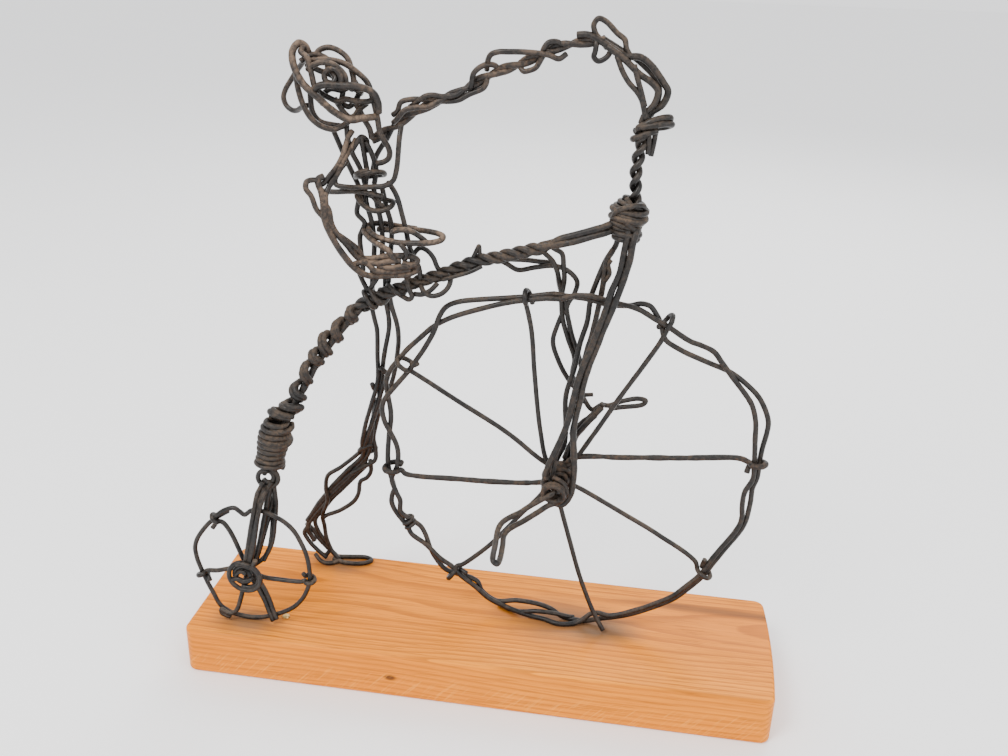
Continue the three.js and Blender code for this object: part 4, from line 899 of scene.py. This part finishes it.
# ---------------------------------------------------------------- torso
torso_wires = [
    dict(points=[(-71, 8, 256), (-68, 8, 249), (-65, 8, 242), (-61, 7, 235), (-59, 6, 231),
                 (-57.4, 5, 226)], dust_and_top_light=0.35),
    dict(points=[(-63.5, 3, 259.4), (-63, 2, 254), (-61, 3, 247), (-59.6, 4, 243.6), (-58, 4, 240),
                 (-56.4, 4, 234)], dust_and_top_light=0.35),
    dict(points=[(-57.4, 1.6, 255), (-56.6, 3, 250), (-56, 4, 243), (-55.5, 4, 240),
                 (-56.6, 3.4, 232), (-57, 3, 226)], dust_and_top_light=0.3),
    dict(points=[(-55.6, 3, 253), (-53, 4, 247), (-51.6, 4, 241), (-52.4, 3.6, 235)], dust_and_top_light=0.3),
    dict(points=[(-44, 9, 261), (-48, 9, 253.5), (-51, 9, 249), (-53, 8, 245),
                 (-53.6, 6, 240)], dust_and_top_light=0.35),
    dict(points=[(-61, 1, 249), (-58.5, 1, 253), (-57, 2, 255), (-55.4, 4, 253.4),
                 (-55.8, 6, 248)], dust_and_top_light=0.3),
    dict(points=[(-60, 2, 238), (-57, -1.6, 239.6), (-54, -2.4, 240.8), (-51.5, -2, 241.5),
                 (-48, 1, 241), (-48, 4, 239.4), (-52, 6.4, 238.2),
                 (-57, 6, 237.4), (-60, 3, 238.4), (-57.6, -1.4, 240.6), (-53, -2, 242)], dust_and_top_light=0.5),
    dict(points=[(-39.4, 0, 261), (-39.4, -3, 257), (-39.5, -4, 254), (-40.5, -4.4, 244),
                 (-42, -4.4, 239), (-46, -4.4, 236.4), (-52, -4.4, 235.6),
                 (-61, -4, 235), (-67, -3, 235.5), (-67.4, -2, 238), (-66, -1, 241),
                 (-63, 1, 245)], dust_and_top_light=0.5),
    dict(points=[(-74, 0, 231.6), (-68, -2, 232), (-59, -3, 233), (-52, -3.4, 232.6),
                 (-47, -2, 231.4)], dust_and_top_light=0.45),
    dict(points=[(-59, 1, 233), (-58.6, -1, 230), (-54, -2.4, 226), (-49, -2.4, 225),
                 (-44.6, -1, 226.6), (-43.8, 1.6, 228.4), (-48, 4.6, 228.5),
                 (-54, 5.4, 229.4), (-58.4, 3, 231), (-56.6, -1.6, 228)], dust_and_top_light=0.5),
    dict(points=[(-54, 0.4, 232.4), (-50.4, -0.4, 229), (-47.5, 0, 226)], dust_and_top_light=0.4),
    dict(points=[(-57, 4, 234), (-56, 4.4, 226), (-54, 4.4, 218), (-53, 4, 209),
                 (-53.4, 3.4, 200)], dust_and_top_light=0.3),
    dict(points=[(-53, 4, 234), (-51.6, 4.4, 226), (-50, 4.4, 218), (-49.4, 4, 209),
                 (-49.8, 3, 200)], dust_and_top_light=0.3),
    dict(points=[(-49, 3.4, 234), (-47.4, 4, 226), (-45.5, 4.4, 218), (-45.6, 4, 209),
                 (-46.4, 3, 200), (-46.6, 2.6, 192)], dust_and_top_light=0.3),
    dict(points=[(-58.6, 2, 229), (-59.4, 2, 226), (-60, 3, 222), (-57, 3.4, 218), (-59, 2.6, 212),
                 (-58.6, 2, 206.5),
                 (-58, 1.6, 202.5), (-57.6, 1.4, 197)], dust_and_top_light=0.4),
    dict(points=[(-46, 0.4, 237), (-44, -0.4, 235.6), (-41, -1.4, 231), (-39, -2, 224),
                 (-37.4, -2, 217), (-36.6, -2, 213), (-35, -2, 208), (-32, -1.4, 201),
                 (-31.6, -0.6, 196)], dust_and_top_light=0.45),
    dict(points=[(-60.4, 1, 200), (-59, 0.4, 196), (-57, -0.4, 192), (-55, -1, 189.4),
                 (-52.4, -1, 192.6), (-50, 0, 197), (-49, 1, 202)], dust_and_top_light=0.45),
    dict(points=[(-54.4, 4, 203), (-54.6, 5, 196), (-54.8, 5, 188), (-54.9, 4.6, 180)], dust_and_top_light=0.3),
    dict(points=[(-49.4, 4, 203), (-48.8, 5, 196), (-48.8, 5, 188), (-48.9, 4.4, 182)], dust_and_top_light=0.3),
]
wire_piece("torso_wires", torso_wires, ["torso"], dark_wire)

# ---------------------------------------------------------------- waist loops
waist_wires = [
    dict(points=[(-34.5, 6, 216.2), (-43.6, 7, 216.6), (-52.3, 8, 217.1), (-56.4, 6.4, 216.2),
                 (-57.4, 3.6, 215), (-55.5, 0, 214.1), (-49.5, -6, 212.2),
                 (-45.4, -9, 211.2), (-43.2, -10, 210.4), (-41.6, -10, 208.4),
                 (-39.8, -8, 204.9)], dust_and_top_light=0.8, radius=1.3),
    dict(points=[(-55.4, 4, 215.6), (-54.3, 1, 215.2), (-49.1, -4, 214.3), (-40.3, -8, 213.9),
                 (-30.6, -9, 214.4), (-24.4, -8.6, 215),
                 (-21, -7.4, 216), (-20.6, -5.6, 217), (-23, -3.6, 217.5), (-27, -2, 217.6),
                 (-34.5, 2, 216.8), (-46.2, 5, 215.2), (-52, 5.6, 215)], dust_and_top_light=0.9, radius=1.3),
    dict(points=[(-43, -4, 217), (-41, -6, 218), (-37, -6.6, 219), (-33, -6.6, 218),
                 (-29, -6.4, 215.4), (-27, -6, 213.6)], dust_and_top_light=0.7, radius=1.2),
    dict(points=[(-38, -9.6, 213.6), (-35.6, -10.4, 211), (-35.4, -9.4, 208.4),
                 (-37, -8, 206.4)], dust_and_top_light=0.6),
]
wire_piece("waist_band_loops", waist_wires, ["waist_loops"], dusty_and_top_lit_wire)

# ---------------------------------------------------------------- near arm
near_arm_wires = [
    dict(points=[(-60.6, 2, 257.4), (-62.2, 0, 254.5), (-62.8, -4, 249.4), (-64, -9, 245),
                 (-65.9, -14, 241.8), (-68.2, -18, 238.9),
                 (-69.9, -20, 240.8), (-73, -22, 240.3), (-73.2, -23, 237.6), (-71.3, -23, 234.9),
                 (-69.4, -22, 229.1), (-66.9, -21, 225.7)], dust_and_top_light=0.6),
    dict(points=[(-59.4, 2.4, 254), (-60.6, 0, 250.9), (-62.3, -6, 246.6), (-63.2, -12, 242.4),
                 (-65.7, -18, 237.4), (-66.6, -20.4, 233)], dust_and_top_light=0.6),
    dict(points=[
        (-67.4, -17.4, 242), (-69.4, -19, 240.9), (-68.8, -20.2, 238.6), (-67.6, -21, 236.4),
        (-66.7, -22, 232.1), (-66.5, -22, 226.4), (-64.6, -21, 219.6),
        (-60.4, -19, 210.8), (-55.9, -15, 203), (-51, -11, 199.1), (-46.2, -8, 198.5),
        (-41, -7.4, 199.0), (-36, -7, 199.6),
        (-31.8, -6, 201.7), (-31.4, -6.4, 203.6), (-36.2, -9, 203.8), (-42.8, -9.6, 202.8),
        (-48.3, -9, 203.4),
    ], dust_and_top_light=0.8, rough=0.3, radius=1.4),
    dict(points=[
        (-66.4, -20.4, 236), (-65.8, -22, 232.6), (-66, -21.4, 227), (-63.9, -19.6, 220.3),
        (-59.9, -16, 215.6), (-55.7, -12, 210.4),
        (-54.4, -9.4, 206.2), (-50, -9, 206.2), (-45, -8.6, 207.4), (-39.5, -8, 207.9),
        (-34.2, -7, 207.8), (-31.2, -7, 206.2), (-32.8, -8, 204.4),
        (-37.6, -8.8, 205.2),
    ], dust_and_top_light=0.8, rough=0.3, radius=1.4),
    dict(points=[(-67, -22.4, 232.6), (-65, -21.4, 229.9), (-63.9, -20, 222.7), (-61.8, -18.4, 218),
                 (-59.6, -17, 214.6), (-56.2, -12.6, 207.8), (-52, -10.4, 204.6),
                 (-47, -9.8, 204.8), (-42, -9.4, 205.8), (-38, -8.4, 206)], dust_and_top_light=0.7, rough=0.4,
                 radius=1.35),
    dict(points=[(-57.2, -13.6, 204.4), (-53.3, -11.6, 205.4), (-49, -10.6, 201.4),
                 (-43.9, -9, 200.8), (-39, -8, 201.2), (-34, -7.4, 202.4)], dust_and_top_light=0.7, rough=0.4,
                 radius=1.35),
]
wire_piece("near_arm_and_fist", near_arm_wires, ["near_arm"], dusty_and_top_lit_wire)

# ---------------------------------------------------------------- far arm
FAR_ARM = [
    (-54, 7, 252.6), (-49, 9, 256), (-44, 10, 259), (-39, 10, 263), (-34, 10, 266), (-25.5, 10, 270),
    (-17, 10, 274), (-9, 10, 279), (-1, 10, 283), (7, 10, 286), (15, 10, 290), (23, 10, 293.4),
    (31, 10, 295.4), (38, 9.4, 296.4), (41, 9.2, 297.4),
]
arm_strands = laid_up(FAR_ARM, 2, 0.95, 4.5, 20)
far_arm_wires = [
    dict(points=arm_strands[0], dust_and_top_light=0.6, rough=0.4, radius=1.3),
    dict(points=arm_strands[1], dust_and_top_light=0.5, rough=0.5, radius=1.3),
    dict(points=[(-45, 7, 263.6), (-42.6, 6.4, 265.4), (-41, 6.4, 269), (-37, 7, 270.4),
                 (-29, 8, 270.4), (-21, 8.4, 270.2), (-17, 8.4, 271), (-13, 8.4, 273.4),
                 (-7, 8.4, 276.4), (-6, 9, 279.5), (-8, 10.6, 280.4)], dust_and_top_light=0.55),
    dict(points=[(-13, 11, 274), (-12, 7.6, 277), (-11, 7, 282), (-7, 8, 285.2), (-3, 10, 285),
                 (-0.5, 11.4, 282.4)], dust_and_top_light=0.4),
    dict(points=[(-6.4, 11.4, 283), (-5.5, 8, 287), (-4, 6.4, 289.6), (-1, 6, 290.8), (2, 6, 291),
                 (12, 6.6, 291), (19, 7.4, 290.2), (23, 8, 289), (26, 9.4, 291)], dust_and_top_light=0.45),
    dict(points=[(16.4, 11, 289.8), (16.6, 8, 292), (18.6, 8, 295), (22.4, 9, 295.2),
                 (24, 11, 292.6)], dust_and_top_light=0.45),
    dict(points=[(17.6, 8.4, 291.4), (16, 8, 288.6), (14, 8, 285.2), (11.6, 8, 284),
                 (9, 8.4, 283.5), (7.4, 9.6, 285)], dust_and_top_light=0.45),
    dict(points=[(-44.4, 5.4, 260.6), (-42, 4.4, 263), (-39, 4.4, 266.5), (-35, 5, 267.6),
                 (-30, 6, 268), (-24, 7.4, 271), (-21, 9, 272.6)], dust_and_top_light=0.5),
    dict(points=[(-38, 8.4, 267), (-35, 7, 269), (-31, 6.6, 272), (-27.6, 6.6, 272.6),
                 (-24, 7, 272.2), (-18, 8, 273), (-14.6, 9.6, 275.6)], dust_and_top_light=0.5),
    dict(points=[(37.6, 8, 296.6), (37.4, 7.2, 293), (37, 7, 290.4), (38.8, 7, 289), (42, 7, 290.6),
                 (43.6, 7.4, 293.4)], dust_and_top_light=0.45),
]
wire_piece("far_arm_and_hand", far_arm_wires, ["far_arm"], dusty_and_top_lit_wire)

# ---------------------------------------------------------------- head
head_wires = [
    dict(points=[(-50, 1.6, 263.6), (-55.6, -2, 263.2), (-60, -4, 262.6), (-66.5, -5, 266),
                 (-73, -5, 271), (-79, -4, 276), (-83, -2, 282), (-84.2, -0.6, 286),
                 (-84, 0, 288.4), (-82.2, 2, 291), (-80, 3, 290),
                 (-78.8, 4, 287)], dust_and_top_light=0.9, rough=0.3, radius=1.5),
    dict(points=[(-80, 2.4, 290), (-81, 0.6, 288), (-78, -1, 286), (-76, -2, 280), (-74, -3, 273),
                 (-71, -3.6, 268)], dust_and_top_light=0.6, radius=1.22),
    dict(points=[(-81, 6, 286), (-84, 10, 282), (-87, 12, 279), (-90, 12.4, 275),
                 (-92.6, 12.4, 271), (-93.4, 12, 267.6), (-92.2, 11.6, 264.4), (-89.6, 10.6, 262.8),
                 (-87, 9.4, 263),
                 (-84.6, 7, 264.4), (-80, 3, 266.4)], dust_and_top_light=0.35, radius=1.15),
    dict(points=[(-83, 0, 279.4), (-82.6, -1, 276), (-82, -1.4, 273), (-80, -2, 267),
                 (-77, -2, 262), (-73, -1.4, 259), (-68, -0.6, 258), (-64, 1, 259.6),
                 (-60.4, 2, 262.4)], dust_and_top_light=0.6, radius=1.22),
    dict(points=[(-78.6, 3, 272), (-78.2, 3, 265), (-76.8, 3, 262), (-74.6, 3, 260),
                 (-69, 3.4, 258.8), (-64.6, 3.4, 258.6)], dust_and_top_light=0.4, radius=1.22),
    dict(points=[(-77, 5, 285), (-75, 6, 288), (-71, 6.4, 289.4), (-67, 6.4, 288.4),
                 (-63, 5.6, 285.5), (-61, 4.4, 281), (-60, 3.4, 277), (-60.6, 1, 273.4)], dust_and_top_light=0.45,
                 radius=1.22),
    dict(points=[
        (-80.6, 3.4, 286), (-78.6, 2.6, 284.6), (-71, 2.4, 285), (-64, 2.4, 284), (-58.5, 2.4, 281),
        (-54, 2.4, 277), (-52, 2.4, 271), (-50, 2, 263),
        (-49, 2, 257), (-47.4, 2, 254), (-45.6, 1.6, 251.6), (-44.8, 1.4, 249), (-45.4, 1.2, 246.8),
        (-47.6, 1, 245.2), (-50.6, 1.4, 244.4),
    ], dust_and_top_light=0.6, radius=1.22),
    dict(points=[(-74.6, -4, 273.2), (-73, -4.4, 275), (-70, -4.8, 276), (-66, -4.6, 276),
                 (-59, -4, 276), (-53, -2.6, 275), (-50.4, -1.6, 273.2), (-49, 0, 269.4),
                 (-49.4, 1.4, 265)],
         dust_and_top_light=0.95, rough=0.3, radius=1.5),
    dict(points=[
        (-63.4, -3.4, 276.2), (-63.6, -3, 279.6), (-65.6, -2.6, 282), (-68.6, -2.4, 282),
        (-70.6, -2.4, 279.6), (-69.6, -3, 277.2), (-67, -3.2, 276.8), (-65.8, -2.4, 278.6),
        (-67.4, -1, 280.2), (-70.4, 1, 283),
    ], dust_and_top_light=0.8, radius=1.22),
    dict(points=[(-75.4, 0, 274), (-73, 0.4, 272), (-69, 0.6, 270), (-66, 0.6, 269),
                 (-63, 0.6, 270), (-58.5, 0.6, 269.4), (-54, 1, 269.4), (-51.4, 2, 270.4)], dust_and_top_light=0.45,
                 radius=1.22),
    dict(points=[(-68.4, 3, 270), (-66.4, 3, 267), (-65, 3, 265), (-62, 3, 262.4), (-60, 3, 263),
                 (-57.6, 3, 266), (-54.4, 3, 268.6)], dust_and_top_light=0.45, radius=1.22),
    dict(points=[(-59.6, 3.6, 268), (-57.6, 4, 264.6), (-56, 4, 261.4), (-54, 4, 258),
                 (-53, 3.6, 254)], dust_and_top_light=0.4, radius=1.22),
    dict(points=[(-81.6, 1, 284), (-77, 4, 286.6), (-72, 5, 285.4), (-67.4, 5, 280), (-65, 4.6, 274),
                 (-66, 4, 268)],
         dust_and_top_light=0.4, radius=1.2),
    dict(points=[(-78, -1, 281), (-75.4, -2, 283), (-71.6, -2.4, 284.4), (-66.4, -2, 283.6),
                 (-62.4, -1.6, 280),
                 (-61.6, -1.6, 276)], dust_and_top_light=0.6, radius=1.2),
    dict(points=[(-74, 3, 270.6), (-70, 3.6, 273.4), (-65.4, 4, 273), (-61.4, 4, 274.4),
                 (-56.4, 3.4, 272)],
         dust_and_top_light=0.4, radius=1.2),
    dict(points=[(-79, 0, 283.4), (-74, 1, 281), (-70, 2, 279.6), (-66, 3, 277)], dust_and_top_light=0.45,
                 radius=1.22),
    dict(points=[(-60, 4.4, 277), (-58.4, 5, 273), (-60.2, 5.4, 269), (-63, 5, 266.4),
                 (-66.4, 5, 268)], dust_and_top_light=0.3, radius=1.22),
]
wire_piece("scribbled_head", head_wires, ["head"], dusty_and_top_lit_wire)

# ---------------------------------------------------------------- plinth
PLINTH_LENGTH = 280.0
PLINTH_DEPTH = 78.0
PLINTH_ROUND = 5.0
WORN_ROUND = 12.0
PLINTH_EASE = 1.5
PLINTH_BULGE = 1.5


def chosen(bm, kind, test):
    return [item for item in getattr(bm, kind) if test(item)]


def plinth_board():
    """The board: corners rounded in plan, one worn away more, the right end swelling, edges eased."""
    bm = bmesh.new()
    bmesh.ops.create_cube(bm, size=1.0)
    bmesh.ops.scale(bm, vec=(PLINTH_LENGTH - PLINTH_BULGE, PLINTH_DEPTH, PLINTH_TOP), verts=bm.verts)
    bmesh.ops.translate(bm, vec=(-PLINTH_BULGE / 2, 0, PLINTH_TOP / 2), verts=bm.verts)
    uprights = chosen(bm, "edges", lambda e: abs(e.verts[0].co.z - e.verts[1].co.z) > 1)
    worn = [e for e in uprights if e.verts[0].co.x < 0 < e.verts[0].co.y]
    plain = [e for e in uprights if e not in worn]
    for edges, size, segments in ((plain, PLINTH_ROUND, 6), (worn, WORN_ROUND, 10)):
        bmesh.ops.bevel(bm, geom=edges, offset=size, affect="EDGES", segments=segments, profile=0.5,
                        material=-1)
    right_end = max(vert.co.x for vert in bm.verts)
    ends = chosen(bm, "edges", lambda e: all(abs(v.co.x - right_end) < 0.01 for v in e.verts) and
                  abs(e.verts[0].co.y - e.verts[1].co.y) > 20)
    bmesh.ops.subdivide_edges(bm, edges=ends, cuts=9, use_grid_fill=True)
    for vert in chosen(bm, "verts", lambda v: abs(v.co.x - right_end) < 0.01):
        across = vert.co.y / (PLINTH_DEPTH / 2 - PLINTH_ROUND)
        vert.co.x += 0.85 * PLINTH_BULGE * (1 - across * across)
    rims = chosen(bm, "edges", lambda e: len(e.link_faces) == 2 and
                  sum(abs(f.normal.z) > 0.9 for f in e.link_faces) == 1)
    bmesh.ops.bevel(bm, geom=rims, offset=PLINTH_EASE, affect="EDGES", segments=4, profile=0.5,
        material=-1,
                    clamp_overlap=True)
    return bm


def plinth_piece(finish):
    bm = plinth_board()
    bmesh.ops.scale(bm, vec=(MM, MM, MM), verts=bm.verts)
    bmesh.ops.recalc_face_normals(bm, faces=bm.faces)
    for face in bm.faces:
        face.smooth = True
    mesh = bpy.data.meshes.new("wooden_plinth")
    bm.to_mesh(mesh)
    bm.free()
    mesh.materials.append(finish)
    piece = bpy.data.objects.new("wooden_plinth", mesh)
    bpy.context.scene.collection.objects.link(piece)
    weighted = piece.modifiers.new("flat_faces_stay_flat", "WEIGHTED_NORMAL")
    weighted.keep_sharp = True
    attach(piece, "root")
    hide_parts("plinth")


def wood_finish():
    """Satin varnish over orange-brown softwood, its grain running the length of the board."""
    finish, surface = new_finish("varnished_pine")
    net = Net(finish)
    flow = net.noise(net.place(scale=(3.0, 16.0, 16.0)), 1.0, 2, 0.5)
    warp = net.noise(net.place(scale=(9.0, 60.0, 60.0)), 1.0, 3, 0.5)
    where = net.place()
    parts = net.add("ShaderNodeSeparateXYZ", {"Vector": where})
    # growth rings: wide arcs about a heart below the board, drawn out along X
    heart_y = net.maths("SUBTRACT", parts.outputs["Y"], 0.012)
    heart_z = net.maths("ADD", parts.outputs["Z"], 0.035)
    squared = net.maths("ADD", net.maths("POWER", heart_y, 2.0), net.maths("POWER", heart_z, 2.0))
    reach = net.maths("SQRT", squared)
    bent = net.maths("ADD", reach, net.maths("MULTIPLY", flow, 0.020))
    bent = net.maths("ADD", bent, net.maths("MULTIPLY", warp, 0.0022))
    growth = net.maths("FRACT", net.maths("MULTIPLY", bent, 470.0))
    late = net.step(growth, 0.45, 0.92)
    late = net.maths("MULTIPLY", late, net.step(growth, 1.0, 0.94))
    fibre = net.noise(net.place(scale=(22.0, 900.0, 900.0)), 1.0, 4, 0.65)
    pores = net.noise(net.place(scale=(45.0, 1500.0, 1500.0)), 1.0, 3, 0.6)
    broad = net.noise(net.place(scale=(4.0, 14.0, 14.0)), 1.0, 2, 0.5)
    tone = net.ramp(broad,
        [(0.3, (0.68, 0.190, 0.004)), (0.5, (0.82, 0.250, 0.006)), (0.72, (0.90, 0.305, 0.012))])
    tone = net.blend(net.maths("MULTIPLY", late, 0.6), tone, (0.34, 0.084, 0.004))
    tone = net.blend(net.step(fibre, 0.36, 0.7, 0.0, 0.5), tone, (0.46, 0.125, 0.006))
    tone = net.blend(net.step(pores, 0.52, 0.72, 0.0, 0.62), tone, (0.22, 0.058, 0.004))
    facing = net.add("ShaderNodeSeparateXYZ",
                     {"Vector": net.add("ShaderNodeNewGeometry").outputs["Normal"]})
    side_on = net.step(facing.outputs["Z"], 0.75, 0.2)
    tone = net.blend(net.maths("MULTIPLY", side_on, 0.35), tone, (0.62, 0.165, 0.004))
    # the dark knot low on the front face
    knot_x = net.maths("MULTIPLY", net.maths("SUBTRACT", parts.outputs["X"], KNOT_X * MM), 0.55)
    knot_z = net.maths("SUBTRACT", parts.outputs["Z"], KNOT_Z * MM)
    knot_reach = net.maths("SQRT",
        net.maths("ADD", net.maths("POWER", knot_x, 2.0), net.maths("POWER", knot_z, 2.0)))
    knot = net.step(net.maths("ADD", knot_reach, net.maths("MULTIPLY", warp, 0.0012)), 0.0027, 0.0013)
    knot = net.maths("MULTIPLY", knot, net.step(parts.outputs["Y"], -0.030, -0.036))
    tone = net.blend(net.maths("MULTIPLY", knot, 0.85), tone, (0.055, 0.024, 0.012))
    # the darker heartwood streak near the right end of the top
    streak_y = net.maths("ABSOLUTE",
        net.maths("SUBTRACT", net.maths("SUBTRACT", parts.outputs["Y"], STREAK_Y * MM),
                                               net.maths("MULTIPLY", warp, 0.006)))
    streak = net.step(streak_y, 0.006, 0.001)
    streak = net.maths("MULTIPLY", streak, net.step(parts.outputs["X"], 0.052, 0.095))
    tone = net.blend(net.maths("MULTIPLY", streak, 0.78), tone, (0.15, 0.050, 0.012))
    # painted shade: dark patches on the top of the board round where the wires stand on it
    patchy_noise = net.noise(net.place(scale=(30.0, 30.0, 30.0)), 1.0, 4, 0.6)
    for spot_x, spot_y, spread in PAINTED_SHADE_SPOTS:
        away_x = net.maths("SUBTRACT", parts.outputs["X"], spot_x * MM)
        away_y = net.maths("MULTIPLY", net.maths("SUBTRACT", parts.outputs["Y"], spot_y * MM), 1.7)
        away = net.maths("SQRT",
            net.maths("ADD", net.maths("POWER", away_x, 2.0), net.maths("POWER", away_y, 2.0)))
        away = net.maths("ADD", away, net.maths("MULTIPLY", patchy_noise, -0.014))
        spot = net.maths("MULTIPLY", net.step(away, spread * MM, -0.004),
            net.step(parts.outputs["Z"], 0.0225, 0.0236))
        tone = net.blend(net.maths("MULTIPLY", spot, 0.8), tone, (0.12, 0.080, 0.050))
    # fine slanting saw marks left under the varnish of the sides
    turned = net.place(rotation=(0.0, math.radians(-42), 0.0))
    stretched = net.add("ShaderNodeMapping", {"Vector": turned})
    stretched.inputs["Scale"].default_value = (1500.0, 120.0, 70.0)
    saw = net.noise(stretched.outputs["Vector"], 1.0, 2, 0.5)
    low = net.step(net.maths("ADD", parts.outputs["Z"], net.maths("MULTIPLY", patchy_noise, 0.012)), 0.022, 0.015)
    scratches = net.maths("MULTIPLY", net.step(saw, 0.56, 0.66), net.maths("MULTIPLY", side_on, 0.34))
    scratches = net.maths("MULTIPLY", scratches, low)
    tone = net.blend(scratches, tone, (0.92, 0.38, 0.05))
    net.put(surface.inputs["Base Color"], tone)
    net.put(surface.inputs["Roughness"], net.step(net.maths("ADD", fibre, broad), 0.7, 1.4, 0.30, 0.46))
    surface.inputs["Specular IOR Level"].default_value = 0.07
    surface.inputs["Coat Weight"].default_value = 0.02
    surface.inputs["Coat Roughness"].default_value = 0.22
    bump = net.add("ShaderNodeBump")
    net.put(bump.inputs["Height"],
        net.maths("ADD", net.maths("MULTIPLY", fibre, 0.7), net.maths("MULTIPLY", late, -0.2)))
    bump.inputs["Strength"].default_value = 0.16
    bump.inputs["Distance"].default_value = 0.0005
    net.put(surface.inputs["Normal"], bump.outputs["Normal"])
    return finish


KNOT_X, KNOT_Z = -38.0, 11.0
STREAK_Y = 22.0
# centres and reach of the painted shade patches round the footings of the wires
PAINTED_SHADE_SPOTS = [(36.0, 3.0, 36.0), (-112.0, -26.0, 20.0), (-82.0, 31.0, 20.0), (58.0, -2.0, 20.0)]
plinth_piece(wood_finish())


# ---------------------------------------------------------------- brass brad
def brass_finish():
    finish, surface = new_finish("dull_brass")
    net = Net(finish)
    where = net.place()
    wear = net.noise(where, 900, 3, 0.6)
    color = net.blend(net.step(wear, 0.35, 0.68), (0.68, 0.44, 0.16), (0.33, 0.20, 0.07))
    net.put(surface.inputs["Base Color"], color)
    surface.inputs["Metallic"].default_value = 0.95
    net.put(surface.inputs["Roughness"], net.step(wear, 0.3, 0.7, 0.28, 0.5))
    return finish


def brass_brad(finish):
    """A small domed head with a rolled lip, spun round its own axis."""
    bm = bmesh.new()
    outline = [(0.0, 1.25), (0.7, 1.2), (1.3, 0.98), (1.75, 0.6), (1.95, 0.2), (1.95, 0.0)]
    verts = [bm.verts.new((r, 0, z)) for r, z in outline]
    edges = [bm.edges.new(pair) for pair in zip(verts, verts[1:])]
    bmesh.ops.spin(bm, geom=verts + edges, cent=(0, 0, 0), axis=(0, 0, 1), angle=2 * math.pi, steps=24,
                   use_merge=True)
    bmesh.ops.remove_doubles(bm, verts=bm.verts, dist=0.001)
    rim = [edge for edge in bm.edges if edge.is_boundary]
    bmesh.ops.holes_fill(bm, edges=rim, sides=0)
    bmesh.ops.translate(bm, vec=(BRAD_X, BRAD_Y, PLINTH_TOP), verts=bm.verts)
    bmesh.ops.scale(bm, vec=(MM, MM, MM), verts=bm.verts)
    bmesh.ops.recalc_face_normals(bm, faces=bm.faces)
    for face in bm.faces:
        face.smooth = len(face.verts) < 6
    mesh = bpy.data.meshes.new("brass_brad_head")
    bm.to_mesh(mesh)
    bm.free()
    mesh.materials.append(finish)
    piece = bpy.data.objects.new("brass_brad_head", mesh)
    bpy.context.scene.collection.objects.link(piece)
    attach(piece, "root")
    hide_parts("brass_brad")


BRAD_X, BRAD_Y = -95.0, -20.0
brass_brad(brass_finish())


# ---------------------------------------------------------------- floor, light and camera
def soft_light(name, place, aim, size, power, tint=(1.0, 1.0, 1.0)):
    light = bpy.data.lights.new(name, "AREA")
    light.shape = "DISK"
    light.size = size
    light.energy = power
    light.color = tint
    lamp = bpy.data.objects.new(name, light)
    lamp.location = place
    lamp.rotation_euler = (Vector(aim) - Vector(place)).to_track_quat("-Z", "Y").to_euler()
    bpy.context.scene.collection.objects.link(lamp)


def pale_floor():
    bm = bmesh.new()
    bmesh.ops.create_grid(bm, x_segments=1, y_segments=1, size=6.0)
    mesh = bpy.data.meshes.new("pale_floor")
    bm.to_mesh(mesh)
    bm.free()
    finish, surface = new_finish("pale_paper")
    net = Net(finish)
    tone = net.noise(net.place(), 2.0)
    net.put(surface.inputs["Base Color"], net.blend(tone, (0.94, 0.94, 0.94), (0.95, 0.95, 0.95)))
    surface.inputs["Roughness"].default_value = 0.9
    mesh.materials.append(finish)
    floor = bpy.data.objects.new("pale_floor", mesh)
    bpy.context.scene.collection.objects.link(floor)


pale_floor()
world = bpy.data.worlds.new("studio")
world.use_nodes = True
world.node_tree.nodes["Background"].inputs["Color"].default_value = (0.98, 0.985, 1.0, 1.0)
world.node_tree.nodes["Background"].inputs["Strength"].default_value = 1.6
bpy.context.scene.world = world
CENTRE = (0.0, 0.0, 0.12)
soft_light("key", (-0.55, -0.75, 1.25), CENTRE, 0.55, 17.0, (1.0, 0.985, 0.96))
soft_light("fill", (0.95, -0.85, 0.65), CENTRE, 0.9, 6.0)
soft_light("back", (0.25, 0.95, 0.95), CENTRE, 0.8, 8.0)

CAMERA_PLACE = (0.06525, -0.41492, 0.33483)
AZIMUTH, ELEVATION, ROLL = math.radians(8.1), math.radians(23.5), math.radians(1.8)
back = Vector((math.sin(AZIMUTH) * math.cos(ELEVATION), -math.cos(AZIMUTH) * math.cos(ELEVATION),
               math.sin(ELEVATION)))
right = (-back).cross(Vector((0, 0, 1))).normalized()
up = right.cross(-back)
across = right * math.cos(ROLL) + up * math.sin(ROLL)
above = up * math.cos(ROLL) - right * math.sin(ROLL)
camera_data = bpy.data.cameras.new("camera")
camera_data.sensor_width = 36.0
camera_data.lens = 36.68
camera_data.clip_start = 0.01
camera = bpy.data.objects.new("camera", camera_data)
camera.matrix_world = Matrix.Translation(CAMERA_PLACE) @ Matrix((across, above,
    back)).transposed().to_4x4()
bpy.context.scene.collection.objects.link(camera)
bpy.context.scene.camera = camera

# ---------------------------------------------------------------- corners of a bounding box as plain lists of numbers
def plain(bounds):
    return [[float(value) for value in corner] for corner in bounds]
